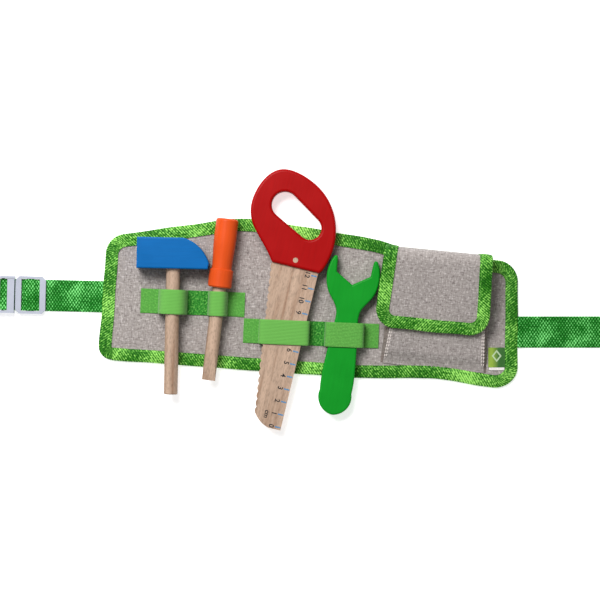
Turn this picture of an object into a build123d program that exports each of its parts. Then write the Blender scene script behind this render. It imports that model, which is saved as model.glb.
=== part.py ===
"""Toy tool belt: a canvas panel with a flap pocket, webbing straps and four wooden tools.

Millimetres. X runs along the belt, +Y to its upper edge, and +Z out of its front.
The origin lies on the back of the lining, at the middle of the panel.
"""

import math
import os

from build123d import *

os.makedirs("parts", exist_ok=True)

# ---- cloth layers -----------------------------------------------------------
lining_thickness = 0.9
canvas_thickness = 1.3
binding_width = 9.5
binding_wall = 0.8
binding_turn = 1.2
gap = 0.3

# ---- panel ------------------------------------------------------------------
panel_left = -162.9
panel_right = 163.3
left_top = 51.5
left_bottom = -43.6
left_lean = 6.6
crest_place = -49.7
crest_height = 66.8
right_top = 31.0
right_bottom = -69.0
sag_start = 97.0
bottom_height = -58.3
level_start = 37.0

# ---- tools' elastic bands ---------------------------------------------------
band_width = 19.0
band_thickness = 1.0
band_lean = 2.4
left_band_start = (-129.8, 1.9)
left_band_length = 80.8
right_band_start = (-50.1, -21.4)
right_band_length = 105.0
loop_slack = 0.6
hammer_loop_ease = 4.0
loop_edge_round = 0.4

# ---- webbing, slider and buckle ---------------------------------------------
webbing_width = 24.4
webbing_thickness = 1.4
webbing_slack = 0.35
bar_cover = 0.2
body_setback = 1.0
joint_overlap = 1.0
bar_radius = 1.2
bar_fit = 0.2
hinge_room = 1.3
left_strap_height = 4.9
left_strap_yaw = 1.4
left_strap_length = 74.8
right_strap_height = -22.6
right_strap_length = 74.0
end_bar_width = 5.4
end_bar_thickness = 1.6
frame_wall = 1.8
loop_window = 7.0
slider_length = 23.5
slider_bar_width = 4.6
slider_bar_thickness = 2.0
slider_centre_bar_width = 6.0
slider_centre_bar_thickness = 1.6
tuck_thickness = 1.2
slider_wall = 2.0
slider_corner = 3.0
tuck_setback = 1.0
tuck_ramp = 2.4
buckle_height = 7.8
plug_root_length = 7.0
prong_length = 20.0
prong_width = 3.6
prong_thickness = 4.4
prong_hook = 2.2
prong_root_room = 0.6
prong_edge_room = 0.4
prong_lead = 1.5
hook_crest = 7.0
hook_back = 9.0
guide_width = 6.0
socket_length = 25.0
socket_wall = 1.6
buckle_clearance = 0.5

# ---- pocket and flap --------------------------------------------------------
fold_centre = (99.96, 40.75)
fold_lean = 5.65
pocket_mouth = -13.0
pocket_bottom = -88.0
mouth_depth = 17.5
foot_depth = 6.0
pocket_wall = 1.2
# each pair: at the pocket's bottom, at its mouth
base_left = (-35.0, -34.0)
base_right = (47.2, 41.0)
front_left = (-33.6, -26.0)
front_right = (45.8, 38.5)
patch_offset = 4.0
patch_corner = 2.0
patch_thickness = 1.2
patch_length = 46.0
patch_height = 18.0
patch_place = -44.0
flap_thickness = 1.6
flap_binding_growth = 0.5
flap_half_top = 41.6
flap_half_bottom = 45.4
flap_drop = 62.8
flap_corner = 15.0
fold_radius = 9.0
lip_height = 4.9
flap_past_fold = 4.0
spare = 3.0

# ---- labels -----------------------------------------------------------------
label_corner = (139.9, -50.0)
label_size = (13.0, 15.4)
label_thickness = 0.5
care_height = 2.2
care_inset = 0.5

# ---- hammer -----------------------------------------------------------------
hammer_foot = (-104.1, 26.4)
hammer_lean = 1.2
head_back = 28.0
head_front = 27.8
head_height = 24.0
head_thickness = 18.0
head_flat = 8.0
head_edge_round = 1.2
head_bow = (21.5, 15.5)
head_nose_height = 4.5
head_toe = 0.8
handle_end_round = 1.0
dowel_diameter = 10.7
dowel_below_head = 97.0
dowel_socket = 16.0

# ---- screwdriver ------------------------------------------------------------
driver_foot = (-68.4, 11.9)
driver_lean = 6.75
grip_length = 53.5
grip_radius = 8.6
waist_radius = 7.7
collar_radius = 9.2
collar_length = 13.4
collar_chamfer = 1.0
collar_step = 1.2
swell_start = 9.0
swell_end = 20.0
grip_end_round = 2.0
shaft_radius = 5.2
shaft_length = 72.0
shaft_socket = 12.0
tip_taper = 22.0
tip_thickness = 2.6
cutter_margin = 2.0

# ---- saw --------------------------------------------------------------------
saw_foot = (-9.2, 27.1)
saw_lean = 13.5
saw_handle_thickness = 12.0
saw_edge_round = 2.2
handle_rim = [
    (-31.5, 14.8),
    (-43.2, 30.5),
    (-43.8, 51.5),
    (-29.5, 71.2),
    (-9.0, 70.0),
    (11.1, 57.7),
    (22.4, 38.5),
    (24.2, 16.6),
]
rim_start_height = 1.4
rim_end_height = 2.6
foot_overhang = 0.9
rim_overhang = 2.9
hole_left = (-19.6, 45.2)
hole_left_radius = 10.2
hole_right = (3.2, 32.2)
hole_right_radius = 8.9
blade_thickness = 6.0
blade_length = 125.0
blade_right = 17.5
blade_left = 18.8
blade_left_tip = 4.0
tooth_count = 20
tooth_depth = 1.1
toothless_end = 8.0
tip_corner = 8.0
tip_bow = (0.6, 3.4)
tang_length = 14.0
tang_inset = 3.0
pin_radius = 2.0
pin_place = (-1.8, 5.6)

# ---- wrench -----------------------------------------------------------------
wrench_neck = (31.1, -5.4)
wrench_lean = 8.8
wrench_thickness = 9.0
jaw_half_width = 20.6
jaw_tip = 40.4
mouth_half_width = 14.0
mouth_floor = 19.6
neck_half_width = 9.6
handle_half_width = 12.4
wrench_foot = 82.0
wrench_edge_round = 1.5
mouth_lead = 0.8
mouth_rise = 8.4
tip_width = 3.4
tip_fall_inside = 1.6
tip_fall_outside = 1.2
shoulder_fall = 14.0
shoulder_inset = 3.6
shoulder_foot = 11.5
neck_length = 14.0
handle_swell_end = 64.0
handle_swell_middle = 34.0
foot_round = (9.2, 4.6)

# ---- levels that follow from the layers -------------------------------------
canvas_top = lining_thickness + canvas_thickness
binding_top = canvas_top + binding_wall
tool_rest = binding_top + gap
dowel_level = tool_rest + head_thickness / 2
driver_level = tool_rest + collar_radius
loop_inner_radius = bar_radius + bar_fit
loop_level = webbing_thickness + loop_inner_radius
loop_top = loop_level + loop_inner_radius + webbing_thickness
slider_floor = webbing_thickness + gap
front_slope = (mouth_depth - foot_depth) / (pocket_mouth - pocket_bottom)
left_slope = left_lean / (left_top - left_bottom)


def leaning_plane(foot, lean, level=0.0):
    """A flat plane whose local Y leans to the right of the belt's Y by lean degrees."""
    turn = math.radians(lean)
    side = (math.cos(turn), -math.sin(turn), 0)
    return Plane(origin=(foot[0], foot[1], level), x_dir=side, z_dir=(0, 0, 1))


def standing_plane(flat):
    """The upright plane through a flat plane's origin: local X kept, local Y is up."""
    return Plane(origin=flat.origin, x_dir=flat.x_dir, z_dir=-flat.y_dir)


def save(piece, name):
    piece.part.label = name
    export_step(piece.part, f"parts/{name}.step")


# ---- panel ------------------------------------------------------------------
panel_corners = [
    (panel_left, left_bottom),
    (panel_left + left_lean, left_top),
    (crest_place, crest_height),
    (panel_right, right_top),
    (panel_right - 1.0, right_bottom),
    (sag_start, bottom_height),
    (level_start, bottom_height),
]
panel_rounds = [10.5, 17.0, 90.0, 17.0, 17.0, 60.0, 200.0]


def panel_sketch(inset):
    """The panel's outline, drawn in by inset all round."""
    with BuildSketch() as outline:
        with BuildLine():
            FilletPolyline(*panel_corners, radius=panel_rounds, close=True)
        make_face()
        if inset:
            offset(amount=-inset, kind=Kind.ARC)
    return outline.sketch


with BuildPart() as panel_lining:
    extrude(panel_sketch(binding_width), amount=lining_thickness)
save(panel_lining, "panel_lining")

with BuildPart() as panel_front:
    with Locations((0, 0, lining_thickness)):
        add(panel_sketch(binding_turn))
    extrude(amount=canvas_thickness)
save(panel_front, "panel_front")

with BuildPart() as panel_binding:
    extrude(panel_sketch(0), amount=binding_top)
    extrude(panel_sketch(binding_width), amount=binding_top, mode=Mode.SUBTRACT)
    add(panel_front.part, mode=Mode.SUBTRACT)
save(panel_binding, "panel_binding")


# ---- elastic bands ----------------------------------------------------------
def band(start, length, lean, humps):
    """A ribbon sewn down flat, with a raised loop at each hump: (from, to, inner height)."""
    flat = leaning_plane(start, lean, canvas_top)
    points = [(0, 0)]
    for low, high, top in humps:
        points += [(low, 0), (low, top), (high, top), (high, 0)]
    points.append((length, 0))
    over = [(length, band_thickness)]
    for low, high, top in reversed(humps):
        right = high + band_thickness
        left = low - band_thickness
        roof = top + band_thickness
        over += [(right, band_thickness), (right, roof), (left, roof), (left, band_thickness)]
    over.append((0, band_thickness))
    with BuildPart() as ribbon:
        with BuildSketch(standing_plane(flat)):
            with BuildLine():
                Polyline(*points, *over, close=True)
            make_face()
        extrude(amount=band_width / 2, both=True)
        roof_edges = ribbon.edges().filter_by(Axis(origin=(0, 0, 0), direction=flat.y_dir))
        tall = [e for e in roof_edges if e.center().Z > canvas_top + band_thickness + 1]
        fillet(tall, radius=loop_edge_round * band_thickness)
    return ribbon


def loop_span(centre, half_width, lean):
    """The two feet of a loop that lets a leaning tool of this half width slide through."""
    swing = band_width / 2 * math.tan(math.radians(abs(lean - band_lean)))
    half = half_width + swing + loop_slack
    return centre - half, centre + half


def place_on_band(start, foot, lean, sideways=0.0):
    """Where a tool's own line crosses the band's middle line: along the band, up the tool."""
    flat = leaning_plane(start, band_lean)
    tool = leaning_plane(foot, lean)
    here = flat.to_local_coords(tool.origin + tool.x_dir * sideways)
    way = math.radians(lean - band_lean)
    return here.X - here.Y * math.tan(way), -here.Y / math.cos(way)


hammer_span = loop_span(
    place_on_band(left_band_start, hammer_foot, hammer_lean)[0],
    dowel_diameter / 2 + hammer_loop_ease,
    hammer_lean,
)
driver_span = loop_span(
    place_on_band(left_band_start, driver_foot, driver_lean)[0], shaft_radius, driver_lean
)
blade_slant = (blade_left - blade_left_tip) / (blade_length - toothless_end)
left_at_band = blade_left + blade_slant * place_on_band(right_band_start, saw_foot, saw_lean)[1]
saw_span = loop_span(
    place_on_band(right_band_start, saw_foot, saw_lean, (blade_right - left_at_band) / 2)[0],
    (blade_right + left_at_band) / 2 + tooth_depth,
    saw_lean,
)
wrench_span = loop_span(
    place_on_band(right_band_start, wrench_neck, wrench_lean)[0], handle_half_width, wrench_lean
)
dowel_top = dowel_level + dowel_diameter / 2 + gap - canvas_top
shaft_top = driver_level + shaft_radius + gap - canvas_top
blade_top = tool_rest + (saw_handle_thickness + blade_thickness) / 2 + gap - canvas_top
wrench_top = tool_rest + wrench_thickness + gap - canvas_top

tool_band_left = band(
    left_band_start,
    left_band_length,
    band_lean,
    [(*hammer_span, dowel_top), (*driver_span, shaft_top)],
)
save(tool_band_left, "tool_band_left")

tool_band_right = band(
    right_band_start,
    right_band_length,
    band_lean,
    [(*saw_span, blade_top), (*wrench_span, wrench_top)],
)
save(tool_band_right, "tool_band_right")


# ---- straps -----------------------------------------------------------------
def strap(flat, length):
    """Webbing that runs out flat, turns round the buckle's bar and comes back over it."""
    tail = length - loop_window / 2 - end_bar_width
    outer_radius = loop_inner_radius + webbing_thickness
    run = [
        (length, loop_top),
        (tail, loop_top),
        (tail, loop_top - webbing_thickness),
        (length, loop_top - webbing_thickness),
    ]
    with BuildPart() as ribbon:
        with BuildSketch(standing_plane(flat)):
            with BuildLine():
                ThreePointArc((length, 0), (length + outer_radius, loop_level), run[0])
                Polyline(*run)
                ThreePointArc(
                    run[-1], (length + loop_inner_radius, loop_level), (length, webbing_thickness)
                )
                Polyline((length, webbing_thickness), (0, webbing_thickness), (0, 0), (length, 0))
            make_face()
        extrude(amount=webbing_width / 2, both=True)
    return ribbon


left_edge_here = panel_left + left_slope * (left_strap_height - left_bottom)
left_root = (left_edge_here - left_slope * webbing_width / 2 - hinge_room, left_strap_height)
left_turn = math.radians(left_strap_yaw)
left_flat = Plane(
    origin=(*left_root, 0),
    x_dir=(-math.cos(left_turn), math.sin(left_turn), 0),
    z_dir=(0, 0, 1),
)
right_root = (panel_right + hinge_room, right_strap_height)
right_flat = Plane(origin=(*right_root, 0), x_dir=(1, 0, 0), z_dir=(0, 0, 1))

left_strap = strap(left_flat, left_strap_length)
save(left_strap, "left_strap")
right_strap = strap(right_flat, right_strap_length)
save(right_strap, "right_strap")


# ---- strap slider -----------------------------------------------------------
inside_half = webbing_width / 2 + webbing_slack
bar_end = left_strap_length - loop_window / 2 - end_bar_width
slider_far = bar_end - 2 * gap
slider_middle = slider_far - slider_length / 2
slider_top = slider_floor + tuck_thickness + slider_bar_thickness
centre_bar_top = slider_floor + slider_centre_bar_thickness

with BuildPart() as strap_slider:
    with BuildSketch(left_flat.offset(gap)) as slider_outline:
        with Locations((slider_middle, 0)):
            Rectangle(slider_length, 2 * (inside_half + slider_wall))
        chamfer(slider_outline.vertices(), length=slider_corner)
        with Locations((slider_middle, 0)):
            Rectangle(
                slider_length - 2 * slider_bar_width, 2 * inside_half, mode=Mode.SUBTRACT
            )
    extrude(amount=slider_top - gap)
    with BuildSketch(left_flat):
        with Locations((slider_middle, 0)):
            Rectangle(slider_length, 2 * inside_half)
    extrude(amount=slider_floor + tuck_thickness, mode=Mode.SUBTRACT)
    with BuildSketch(left_flat.offset(slider_floor)):
        with Locations((slider_middle, 0)):
            Rectangle(slider_centre_bar_width, 2 * (inside_half + slider_wall / 2))
    extrude(amount=slider_centre_bar_thickness)
save(strap_slider, "strap_slider")

tuck_half = slider_length / 2 - tuck_setback
bar_half = slider_centre_bar_width / 2
low = slider_floor
high = centre_bar_top
tuck_under = [
    (slider_middle - tuck_half, low),
    (slider_middle - bar_half - tuck_ramp, low),
    (slider_middle - bar_half, high),
    (slider_middle + bar_half, high),
    (slider_middle + bar_half + tuck_ramp, low),
    (slider_middle + tuck_half, low),
]
tuck_over = [(s, z + tuck_thickness) for s, z in reversed(tuck_under)]
with BuildPart() as strap_tuck:
    with BuildSketch(standing_plane(left_flat)):
        with BuildLine():
            Polyline(*tuck_under, *tuck_over, close=True)
        make_face()
    extrude(amount=webbing_width / 2, both=True)
save(strap_tuck, "strap_tuck")


# ---- buckle -----------------------------------------------------------------
def webbing_frame(flat, length, body_end):
    """Two side walls, the round bar in the webbing's loop and the end bar over it."""
    near = length - loop_window / 2 - end_bar_width
    with BuildPart() as frame:
        with BuildSketch(flat.offset(gap)):
            with Locations(((near + body_end) / 2, 0)):
                Rectangle(body_end - near, 2 * (inside_half + frame_wall))
                Rectangle(body_end - near, 2 * inside_half, mode=Mode.SUBTRACT)
        extrude(amount=buckle_height - gap)
        with BuildSketch(flat.offset(loop_top + bar_cover)):
            with Locations((near + end_bar_width / 2, 0)):
                Rectangle(end_bar_width, 2 * (inside_half + frame_wall / 2))
        extrude(amount=end_bar_thickness)
        bar_plane = Plane(
            origin=flat.from_local_coords(Vector(length, 0, loop_level)),
            x_dir=(0, 0, 1),
            z_dir=flat.y_dir,
        )
        with BuildSketch(bar_plane):
            Circle(bar_radius)
        extrude(amount=inside_half + frame_wall / 2, both=True)
    return frame.part


plug_root = left_strap_length + loop_window / 2 + body_setback
plug_face = plug_root + plug_root_length
plug_width = 2 * (inside_half + frame_wall)
prong_place = plug_width / 2 - prong_width - prong_hook - prong_edge_room
prong_level = gap + (buckle_height - gap - prong_thickness) / 2

with BuildPart() as buckle_plug:
    add(webbing_frame(left_flat, left_strap_length, plug_root))
    with BuildSketch(left_flat.offset(gap)):
        with Locations(((plug_root + plug_face) / 2, 0)):
            Rectangle(plug_root_length, plug_width)
    extrude(amount=buckle_height - gap)
    with BuildSketch(left_flat.offset(prong_level)):
        with Locations((plug_face + prong_length / 2 - joint_overlap, 0)):
            Rectangle(prong_length, guide_width)
    extrude(amount=prong_thickness)
save(buckle_plug, "buckle_plug")


def prong(side):
    """A springy arm with a hooked head, beside the plug's middle guide."""
    root = plug_face + prong_root_room
    tip = plug_face + prong_length
    inner = side * prong_place
    outer = side * (prong_place + prong_width)
    hook = side * (prong_place + prong_width + prong_hook)
    outline = [
        (root, inner),
        (tip - prong_lead, inner),
        (tip, outer),
        (tip - hook_crest, hook),
        (tip - hook_back, outer),
        (root, outer),
    ]
    with BuildPart() as arm:
        with BuildSketch(left_flat.offset(prong_level)):
            with BuildLine():
                Polyline(*outline, close=True)
            make_face()
        extrude(amount=prong_thickness)
    return arm


buckle_prong_upper = prong(-1)
save(buckle_prong_upper, "buckle_prong_upper")
buckle_prong_lower = prong(1)
save(buckle_prong_lower, "buckle_prong_lower")

socket_root = right_strap_length + loop_window / 2 + body_setback
socket_cavity_half = prong_place + prong_width + buckle_clearance
socket_cavity_height = prong_thickness + 2 * buckle_clearance
socket_cavity_level = gap + (buckle_height - gap - socket_cavity_height) / 2

with BuildPart() as buckle_socket:
    add(webbing_frame(right_flat, right_strap_length, socket_root))
    with BuildSketch(right_flat.offset(gap)):
        with Locations((socket_root + socket_length / 2, 0)):
            Rectangle(socket_length, plug_width)
    extrude(amount=buckle_height - gap)
    with BuildSketch(right_flat.offset(socket_cavity_level)):
        with Locations((socket_root + socket_wall + socket_length / 2, 0)):
            Rectangle(socket_length, 2 * socket_cavity_half)
    extrude(amount=socket_cavity_height, mode=Mode.SUBTRACT)
    with BuildSketch(right_flat.offset(socket_cavity_level)):
        with Locations((socket_root + socket_length / 2 - joint_overlap, 0)):
            Rectangle(socket_length / 2 - joint_overlap, plug_width + cutter_margin)
    extrude(amount=socket_cavity_height, mode=Mode.SUBTRACT)
save(buckle_socket, "buckle_socket")


# ---- pocket -----------------------------------------------------------------
pocket_flat = leaning_plane(fold_centre, fold_lean)


def front_level(v):
    """Height of the pocket's front face at a distance v from the fold."""
    return mouth_depth + (v - pocket_mouth) * front_slope


def pocket_section(v, wall, base):
    """The pocket cut across at v, with its walls drawn in by wall."""
    share = (v - pocket_bottom) / (pocket_mouth - pocket_bottom)
    roof = front_level(v) - wall

    def edge(pair):
        return pair[0] + (pair[1] - pair[0]) * share

    here = Plane(
        origin=pocket_flat.from_local_coords(Vector(0, v, 0)),
        x_dir=pocket_flat.x_dir,
        z_dir=-pocket_flat.y_dir,
    )
    with BuildSketch(here) as cut:
        with BuildLine():
            Polyline(
                (edge(base_left) + wall, base),
                (edge(front_left) + wall, roof),
                (edge(front_right) - wall, roof),
                (edge(base_right) - wall, base),
                close=True,
            )
        make_face()
    return cut.sketch


front_plane = Plane(
    origin=pocket_flat.from_local_coords(Vector(0, pocket_mouth, mouth_depth)),
    x_dir=pocket_flat.x_dir,
    z_dir=pocket_flat.z_dir * math.cos(math.atan(front_slope))
    - pocket_flat.y_dir * math.sin(math.atan(front_slope)),
)

with BuildPart() as pocket_shell:
    loft(
        [
            pocket_section(pocket_bottom, 0, canvas_top),
            pocket_section(pocket_mouth, 0, canvas_top),
        ],
        ruled=True,
    )
    loft(
        [
            pocket_section(pocket_bottom + pocket_wall, pocket_wall, canvas_top - spare),
            pocket_section(pocket_mouth + spare, pocket_wall, canvas_top - spare),
        ],
        ruled=True,
        mode=Mode.SUBTRACT,
    )

with BuildPart() as pocket_front:
    add(pocket_shell.part)
    split(bisect_by=front_plane.offset(-pocket_wall), keep=Keep.TOP)
save(pocket_front, "pocket_front")

with BuildPart() as pocket_gusset:
    add(pocket_shell.part)
    split(bisect_by=front_plane.offset(-pocket_wall), keep=Keep.BOTTOM)
save(pocket_gusset, "pocket_gusset")

patch_centre = (patch_offset, patch_place - pocket_mouth)
with BuildPart() as pocket_loop_patch:
    with BuildSketch(front_plane):
        with Locations(patch_centre):
            RectangleRounded(patch_length, patch_height, patch_corner)
    extrude(amount=patch_thickness)
save(pocket_loop_patch, "pocket_loop_patch")

with BuildPart() as flap_hook_patch:
    with BuildSketch(front_plane.offset(patch_thickness + gap)):
        with Locations(patch_centre):
            RectangleRounded(patch_length, patch_height, patch_corner)
    extrude(amount=patch_thickness)
save(flap_hook_patch, "flap_hook_patch")


# ---- flap -------------------------------------------------------------------
def flap_sketch(inset):
    """The flap's outline from above, drawn in by inset at its sides and its lower edge."""
    slope = (flap_half_bottom - flap_half_top) / flap_drop
    bottom = -flap_drop + inset
    top_half = flap_half_top - inset - slope * flap_past_fold
    low_half = flap_half_bottom - inset
    with BuildSketch(pocket_flat) as outline:
        with BuildLine():
            FilletPolyline(
                (-top_half, flap_past_fold),
                (-low_half, bottom),
                (low_half, bottom),
                (top_half, flap_past_fold),
                radius=flap_corner - inset,
            )
            Line((top_half, flap_past_fold), (-top_half, flap_past_fold))
        make_face()
    return outline.sketch


def flap_profile(growth):
    """The flap cut along its drop: up from the panel's edge, over the fold and down."""
    stack = (2 * patch_thickness + gap) * math.sqrt(1 + front_slope**2)
    under = front_level(0) + stack - growth
    over = under + flap_thickness + 2 * growth
    inner = -flap_thickness - growth
    end = -flap_drop - spare
    with BuildSketch(
        Plane(origin=pocket_flat.origin, x_dir=pocket_flat.y_dir, z_dir=pocket_flat.x_dir)
    ) as cut:
        with BuildLine():
            FilletPolyline(
                (growth, lip_height),
                (growth, over + growth * front_slope),
                (end, over + end * front_slope),
                (end, under + end * front_slope),
                (inner, under + inner * front_slope),
                (inner, lip_height),
                radius=[fold_radius, 0, 0, fold_radius - flap_thickness],
            )
            Line((inner, lip_height), (growth, lip_height))
        make_face()
    return cut.sketch


flap_reach = 2 * flap_half_bottom
with BuildPart() as flap_canvas:
    extrude(flap_profile(0), amount=flap_reach, both=True)
    extrude(flap_sketch(binding_width), amount=flap_reach, mode=Mode.INTERSECT)
save(flap_canvas, "flap_canvas")

with BuildPart() as flap_binding:
    extrude(flap_profile(flap_binding_growth), amount=flap_reach, both=True)
    extrude(flap_sketch(0), amount=flap_reach, mode=Mode.INTERSECT)
    extrude(flap_sketch(binding_width), amount=flap_reach, mode=Mode.SUBTRACT)
save(flap_binding, "flap_binding")


# ---- labels -----------------------------------------------------------------
label_x = label_corner[0] + label_size[0] / 2
with BuildPart() as woven_label:
    with BuildSketch(Plane.XY.offset(canvas_top)):
        with Locations((label_x, label_corner[1] + label_size[1] / 2)):
            Rectangle(*label_size)
    extrude(amount=label_thickness)
save(woven_label, "woven_label")

with BuildPart() as care_label:
    with BuildSketch(Plane.XY.offset(canvas_top)):
        with Locations((label_x, label_corner[1] - care_height / 2)):
            Rectangle(label_size[0] - 2 * care_inset, care_height)
    extrude(amount=label_thickness)
save(care_label, "care_label")


# ---- hammer -----------------------------------------------------------------
hammer_flat = leaning_plane(hammer_foot, hammer_lean, tool_rest)
hammer_dowel_plane = Plane(
    origin=hammer_flat.from_local_coords(Vector(0, dowel_socket, head_thickness / 2)),
    x_dir=hammer_flat.x_dir,
    z_dir=-hammer_flat.y_dir,
)
with BuildPart() as hammer_handle:
    with BuildSketch(hammer_dowel_plane):
        Circle(dowel_diameter / 2)
    extrude(amount=dowel_socket + dowel_below_head)
    fillet(hammer_handle.edges().sort_by(Axis.Y)[0], radius=handle_end_round)
save(hammer_handle, "hammer_handle")

with BuildPart() as hammer_head:
    with BuildSketch(hammer_flat):
        with BuildLine():
            Polyline(
                (head_front - head_toe, 0),
                (-head_back, 0),
                (-head_back, head_height),
                (head_flat, head_height),
            )
            ThreePointArc((head_flat, head_height), head_bow, (head_front, head_nose_height))
            Line((head_front, head_nose_height), (head_front - head_toe, 0))
        make_face()
    extrude(amount=head_thickness)
    add(hammer_handle.part, mode=Mode.SUBTRACT)
    fillet(hammer_head.faces().sort_by(Axis.Z)[-1].edges(), radius=head_edge_round)
    fillet(hammer_head.faces().sort_by(Axis.Z)[0].edges(), radius=head_edge_round)
save(hammer_head, "hammer_head")


# ---- screwdriver ------------------------------------------------------------
driver_flat = leaning_plane(driver_foot, driver_lean, driver_level)
driver_axis = Axis(origin=driver_flat.origin, direction=driver_flat.y_dir)
shaft_plane = Plane(
    origin=driver_flat.from_local_coords(Vector(0, shaft_socket, 0)),
    x_dir=driver_flat.x_dir,
    z_dir=-driver_flat.y_dir,
)
driver_side = Plane(origin=driver_flat.origin, x_dir=driver_flat.y_dir, z_dir=driver_flat.x_dir)
waist_start = (waist_radius, collar_length + collar_step)
swell_top = (grip_radius, grip_length - grip_end_round)

with BuildPart() as screwdriver_grip:
    with BuildSketch(driver_flat):
        with BuildLine():
            Polyline(
                (0, 0),
                (collar_radius - collar_chamfer, 0),
                (collar_radius, collar_chamfer),
                (collar_radius, collar_length),
                waist_start,
            )
            Spline(
                waist_start,
                (waist_radius + (grip_radius - waist_radius) / 4, collar_length + swell_start),
                (grip_radius, collar_length + swell_end),
                swell_top,
                tangents=((0, 1), (0, 1)),
            )
            RadiusArc(swell_top, (grip_radius - grip_end_round, grip_length), -grip_end_round)
            Polyline((grip_radius - grip_end_round, grip_length), (0, grip_length), (0, 0))
        make_face()
    revolve(axis=driver_axis)
    with BuildSketch(shaft_plane):
        Circle(shaft_radius)
    extrude(amount=shaft_socket + cutter_margin, mode=Mode.SUBTRACT)
save(screwdriver_grip, "screwdriver_grip")

with BuildPart() as screwdriver_shaft:
    with BuildSketch(shaft_plane):
        Circle(shaft_radius)
    extrude(amount=shaft_socket + shaft_length)
    taper_start = -shaft_length + tip_taper
    for side in (-1, 1):
        with BuildSketch(driver_side):
            with BuildLine():
                Polyline(
                    (taper_start, side * shaft_radius),
                    (-shaft_length, side * tip_thickness / 2),
                    (-shaft_length, side * (shaft_radius + cutter_margin)),
                    (taper_start, side * (shaft_radius + cutter_margin)),
                    close=True,
                )
            make_face()
        extrude(amount=shaft_radius + cutter_margin, both=True, mode=Mode.SUBTRACT)
save(screwdriver_shaft, "screwdriver_shaft")


# ---- saw --------------------------------------------------------------------
saw_flat = leaning_plane(saw_foot, saw_lean, tool_rest)
blade_level = (saw_handle_thickness - blade_thickness) / 2
tooth_pitch = (blade_length - toothless_end) / tooth_count
blade_middle = (blade_right - blade_left) / 2
tang_half = (blade_left + blade_right) / 2 - tang_inset
foot_left = (-blade_left, 0)
foot_right = (blade_right + foot_overhang, 0)
rim_start = (-blade_left - rim_start_height, rim_start_height)
rim_end = (blade_right + rim_overhang, rim_end_height)

with BuildPart() as saw_handle:
    with BuildSketch(saw_flat):
        with BuildLine():
            Spline(rim_start, *handle_rim, rim_end)
            Polyline(rim_end, foot_right, foot_left, rim_start)
        make_face()
        with BuildSketch(mode=Mode.SUBTRACT):
            with Locations(hole_left):
                Circle(hole_left_radius)
            with Locations(hole_right):
                Circle(hole_right_radius)
            make_hull()
    extrude(amount=saw_handle_thickness)
    fillet(saw_handle.faces().sort_by(Axis.Z)[-1].edges(), radius=saw_edge_round)
    fillet(saw_handle.faces().sort_by(Axis.Z)[0].edges(), radius=saw_edge_round)
    with BuildSketch(saw_flat.offset(blade_level)):
        with Locations((blade_middle, (tang_length - cutter_margin) / 2)):
            Rectangle(2 * tang_half, tang_length + cutter_margin)
    extrude(amount=blade_thickness, mode=Mode.SUBTRACT)
    with BuildSketch(saw_flat):
        with Locations(pin_place):
            Circle(pin_radius)
    extrude(amount=saw_handle_thickness, mode=Mode.SUBTRACT)
save(saw_handle, "saw_handle")

with BuildPart() as saw_blade:
    with BuildSketch(saw_flat.offset(blade_level)):
        with BuildLine():
            spot = foot_left
            for tooth in range(tooth_count):
                down = -(tooth + 1) * tooth_pitch
                after = (-blade_left - blade_slant * down, down)
                middle = ((spot[0] + after[0]) / 2 - tooth_depth, (spot[1] + after[1]) / 2)
                ThreePointArc(spot, middle, after)
                spot = after
            tip_start = (tip_corner, -blade_length)
            ThreePointArc(spot, (tip_bow[0], tip_bow[1] - blade_length), tip_start)
            Polyline(
                tip_start,
                (blade_right, -blade_length),
                (blade_right, 0),
                (blade_middle + tang_half, 0),
                (blade_middle + tang_half, tang_length),
                (blade_middle - tang_half, tang_length),
                (blade_middle - tang_half, 0),
                foot_left,
            )
        make_face()
    extrude(amount=blade_thickness)
    with BuildSketch(saw_flat):
        with Locations(pin_place):
            Circle(pin_radius)
    extrude(amount=saw_handle_thickness, mode=Mode.SUBTRACT)
save(saw_blade, "saw_blade")

with BuildPart() as saw_pin:
    with BuildSketch(saw_flat):
        with Locations(pin_place):
            Circle(pin_radius)
    extrude(amount=saw_handle_thickness)
save(saw_pin, "saw_pin")


# ---- wrench -----------------------------------------------------------------
wrench_flat = leaning_plane(wrench_neck, wrench_lean, tool_rest)
with BuildPart() as wrench:
    with BuildSketch(wrench_flat):
        with BuildLine():
            mouth = Polyline(
                (0, mouth_floor),
                (mouth_half_width - mouth_lead, mouth_floor + mouth_rise),
                (mouth_half_width, jaw_tip - tip_fall_inside),
            )
            nose = ThreePointArc(
                mouth @ 1,
                (mouth_half_width + tip_width / 2, jaw_tip),
                (mouth_half_width + tip_width, jaw_tip - tip_fall_outside),
            )
            flank = Spline(
                nose @ 1,
                (jaw_half_width, jaw_tip - shoulder_fall),
                (jaw_half_width - shoulder_inset, shoulder_foot),
                (neck_half_width, 0),
                (neck_half_width, -neck_length),
                ((neck_half_width + 2 * handle_half_width) / 3, -handle_swell_middle),
                (handle_half_width, -handle_swell_end),
            )
            ThreePointArc(
                flank @ 1, (foot_round[0], foot_round[1] - wrench_foot), (0, -wrench_foot)
            )
            mirror(about=Plane.YZ)
        make_face()
    extrude(amount=wrench_thickness)
    fillet(wrench.faces().sort_by(Axis.Z)[-1].edges(), radius=wrench_edge_round)
    fillet(wrench.faces().sort_by(Axis.Z)[0].edges(), radius=wrench_edge_round)
save(wrench, "wrench")
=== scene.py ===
"""A child's canvas tool belt with a bound flap pocket, elastic loops and webbing straps.

Laid out as an add-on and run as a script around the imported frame. Shapes are worked out in
millimetres in the frame's own axes (+X along the belt, +Y to its upper edge, +Z out of its
front) and are put into meshes in metres.
"""

import math

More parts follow.
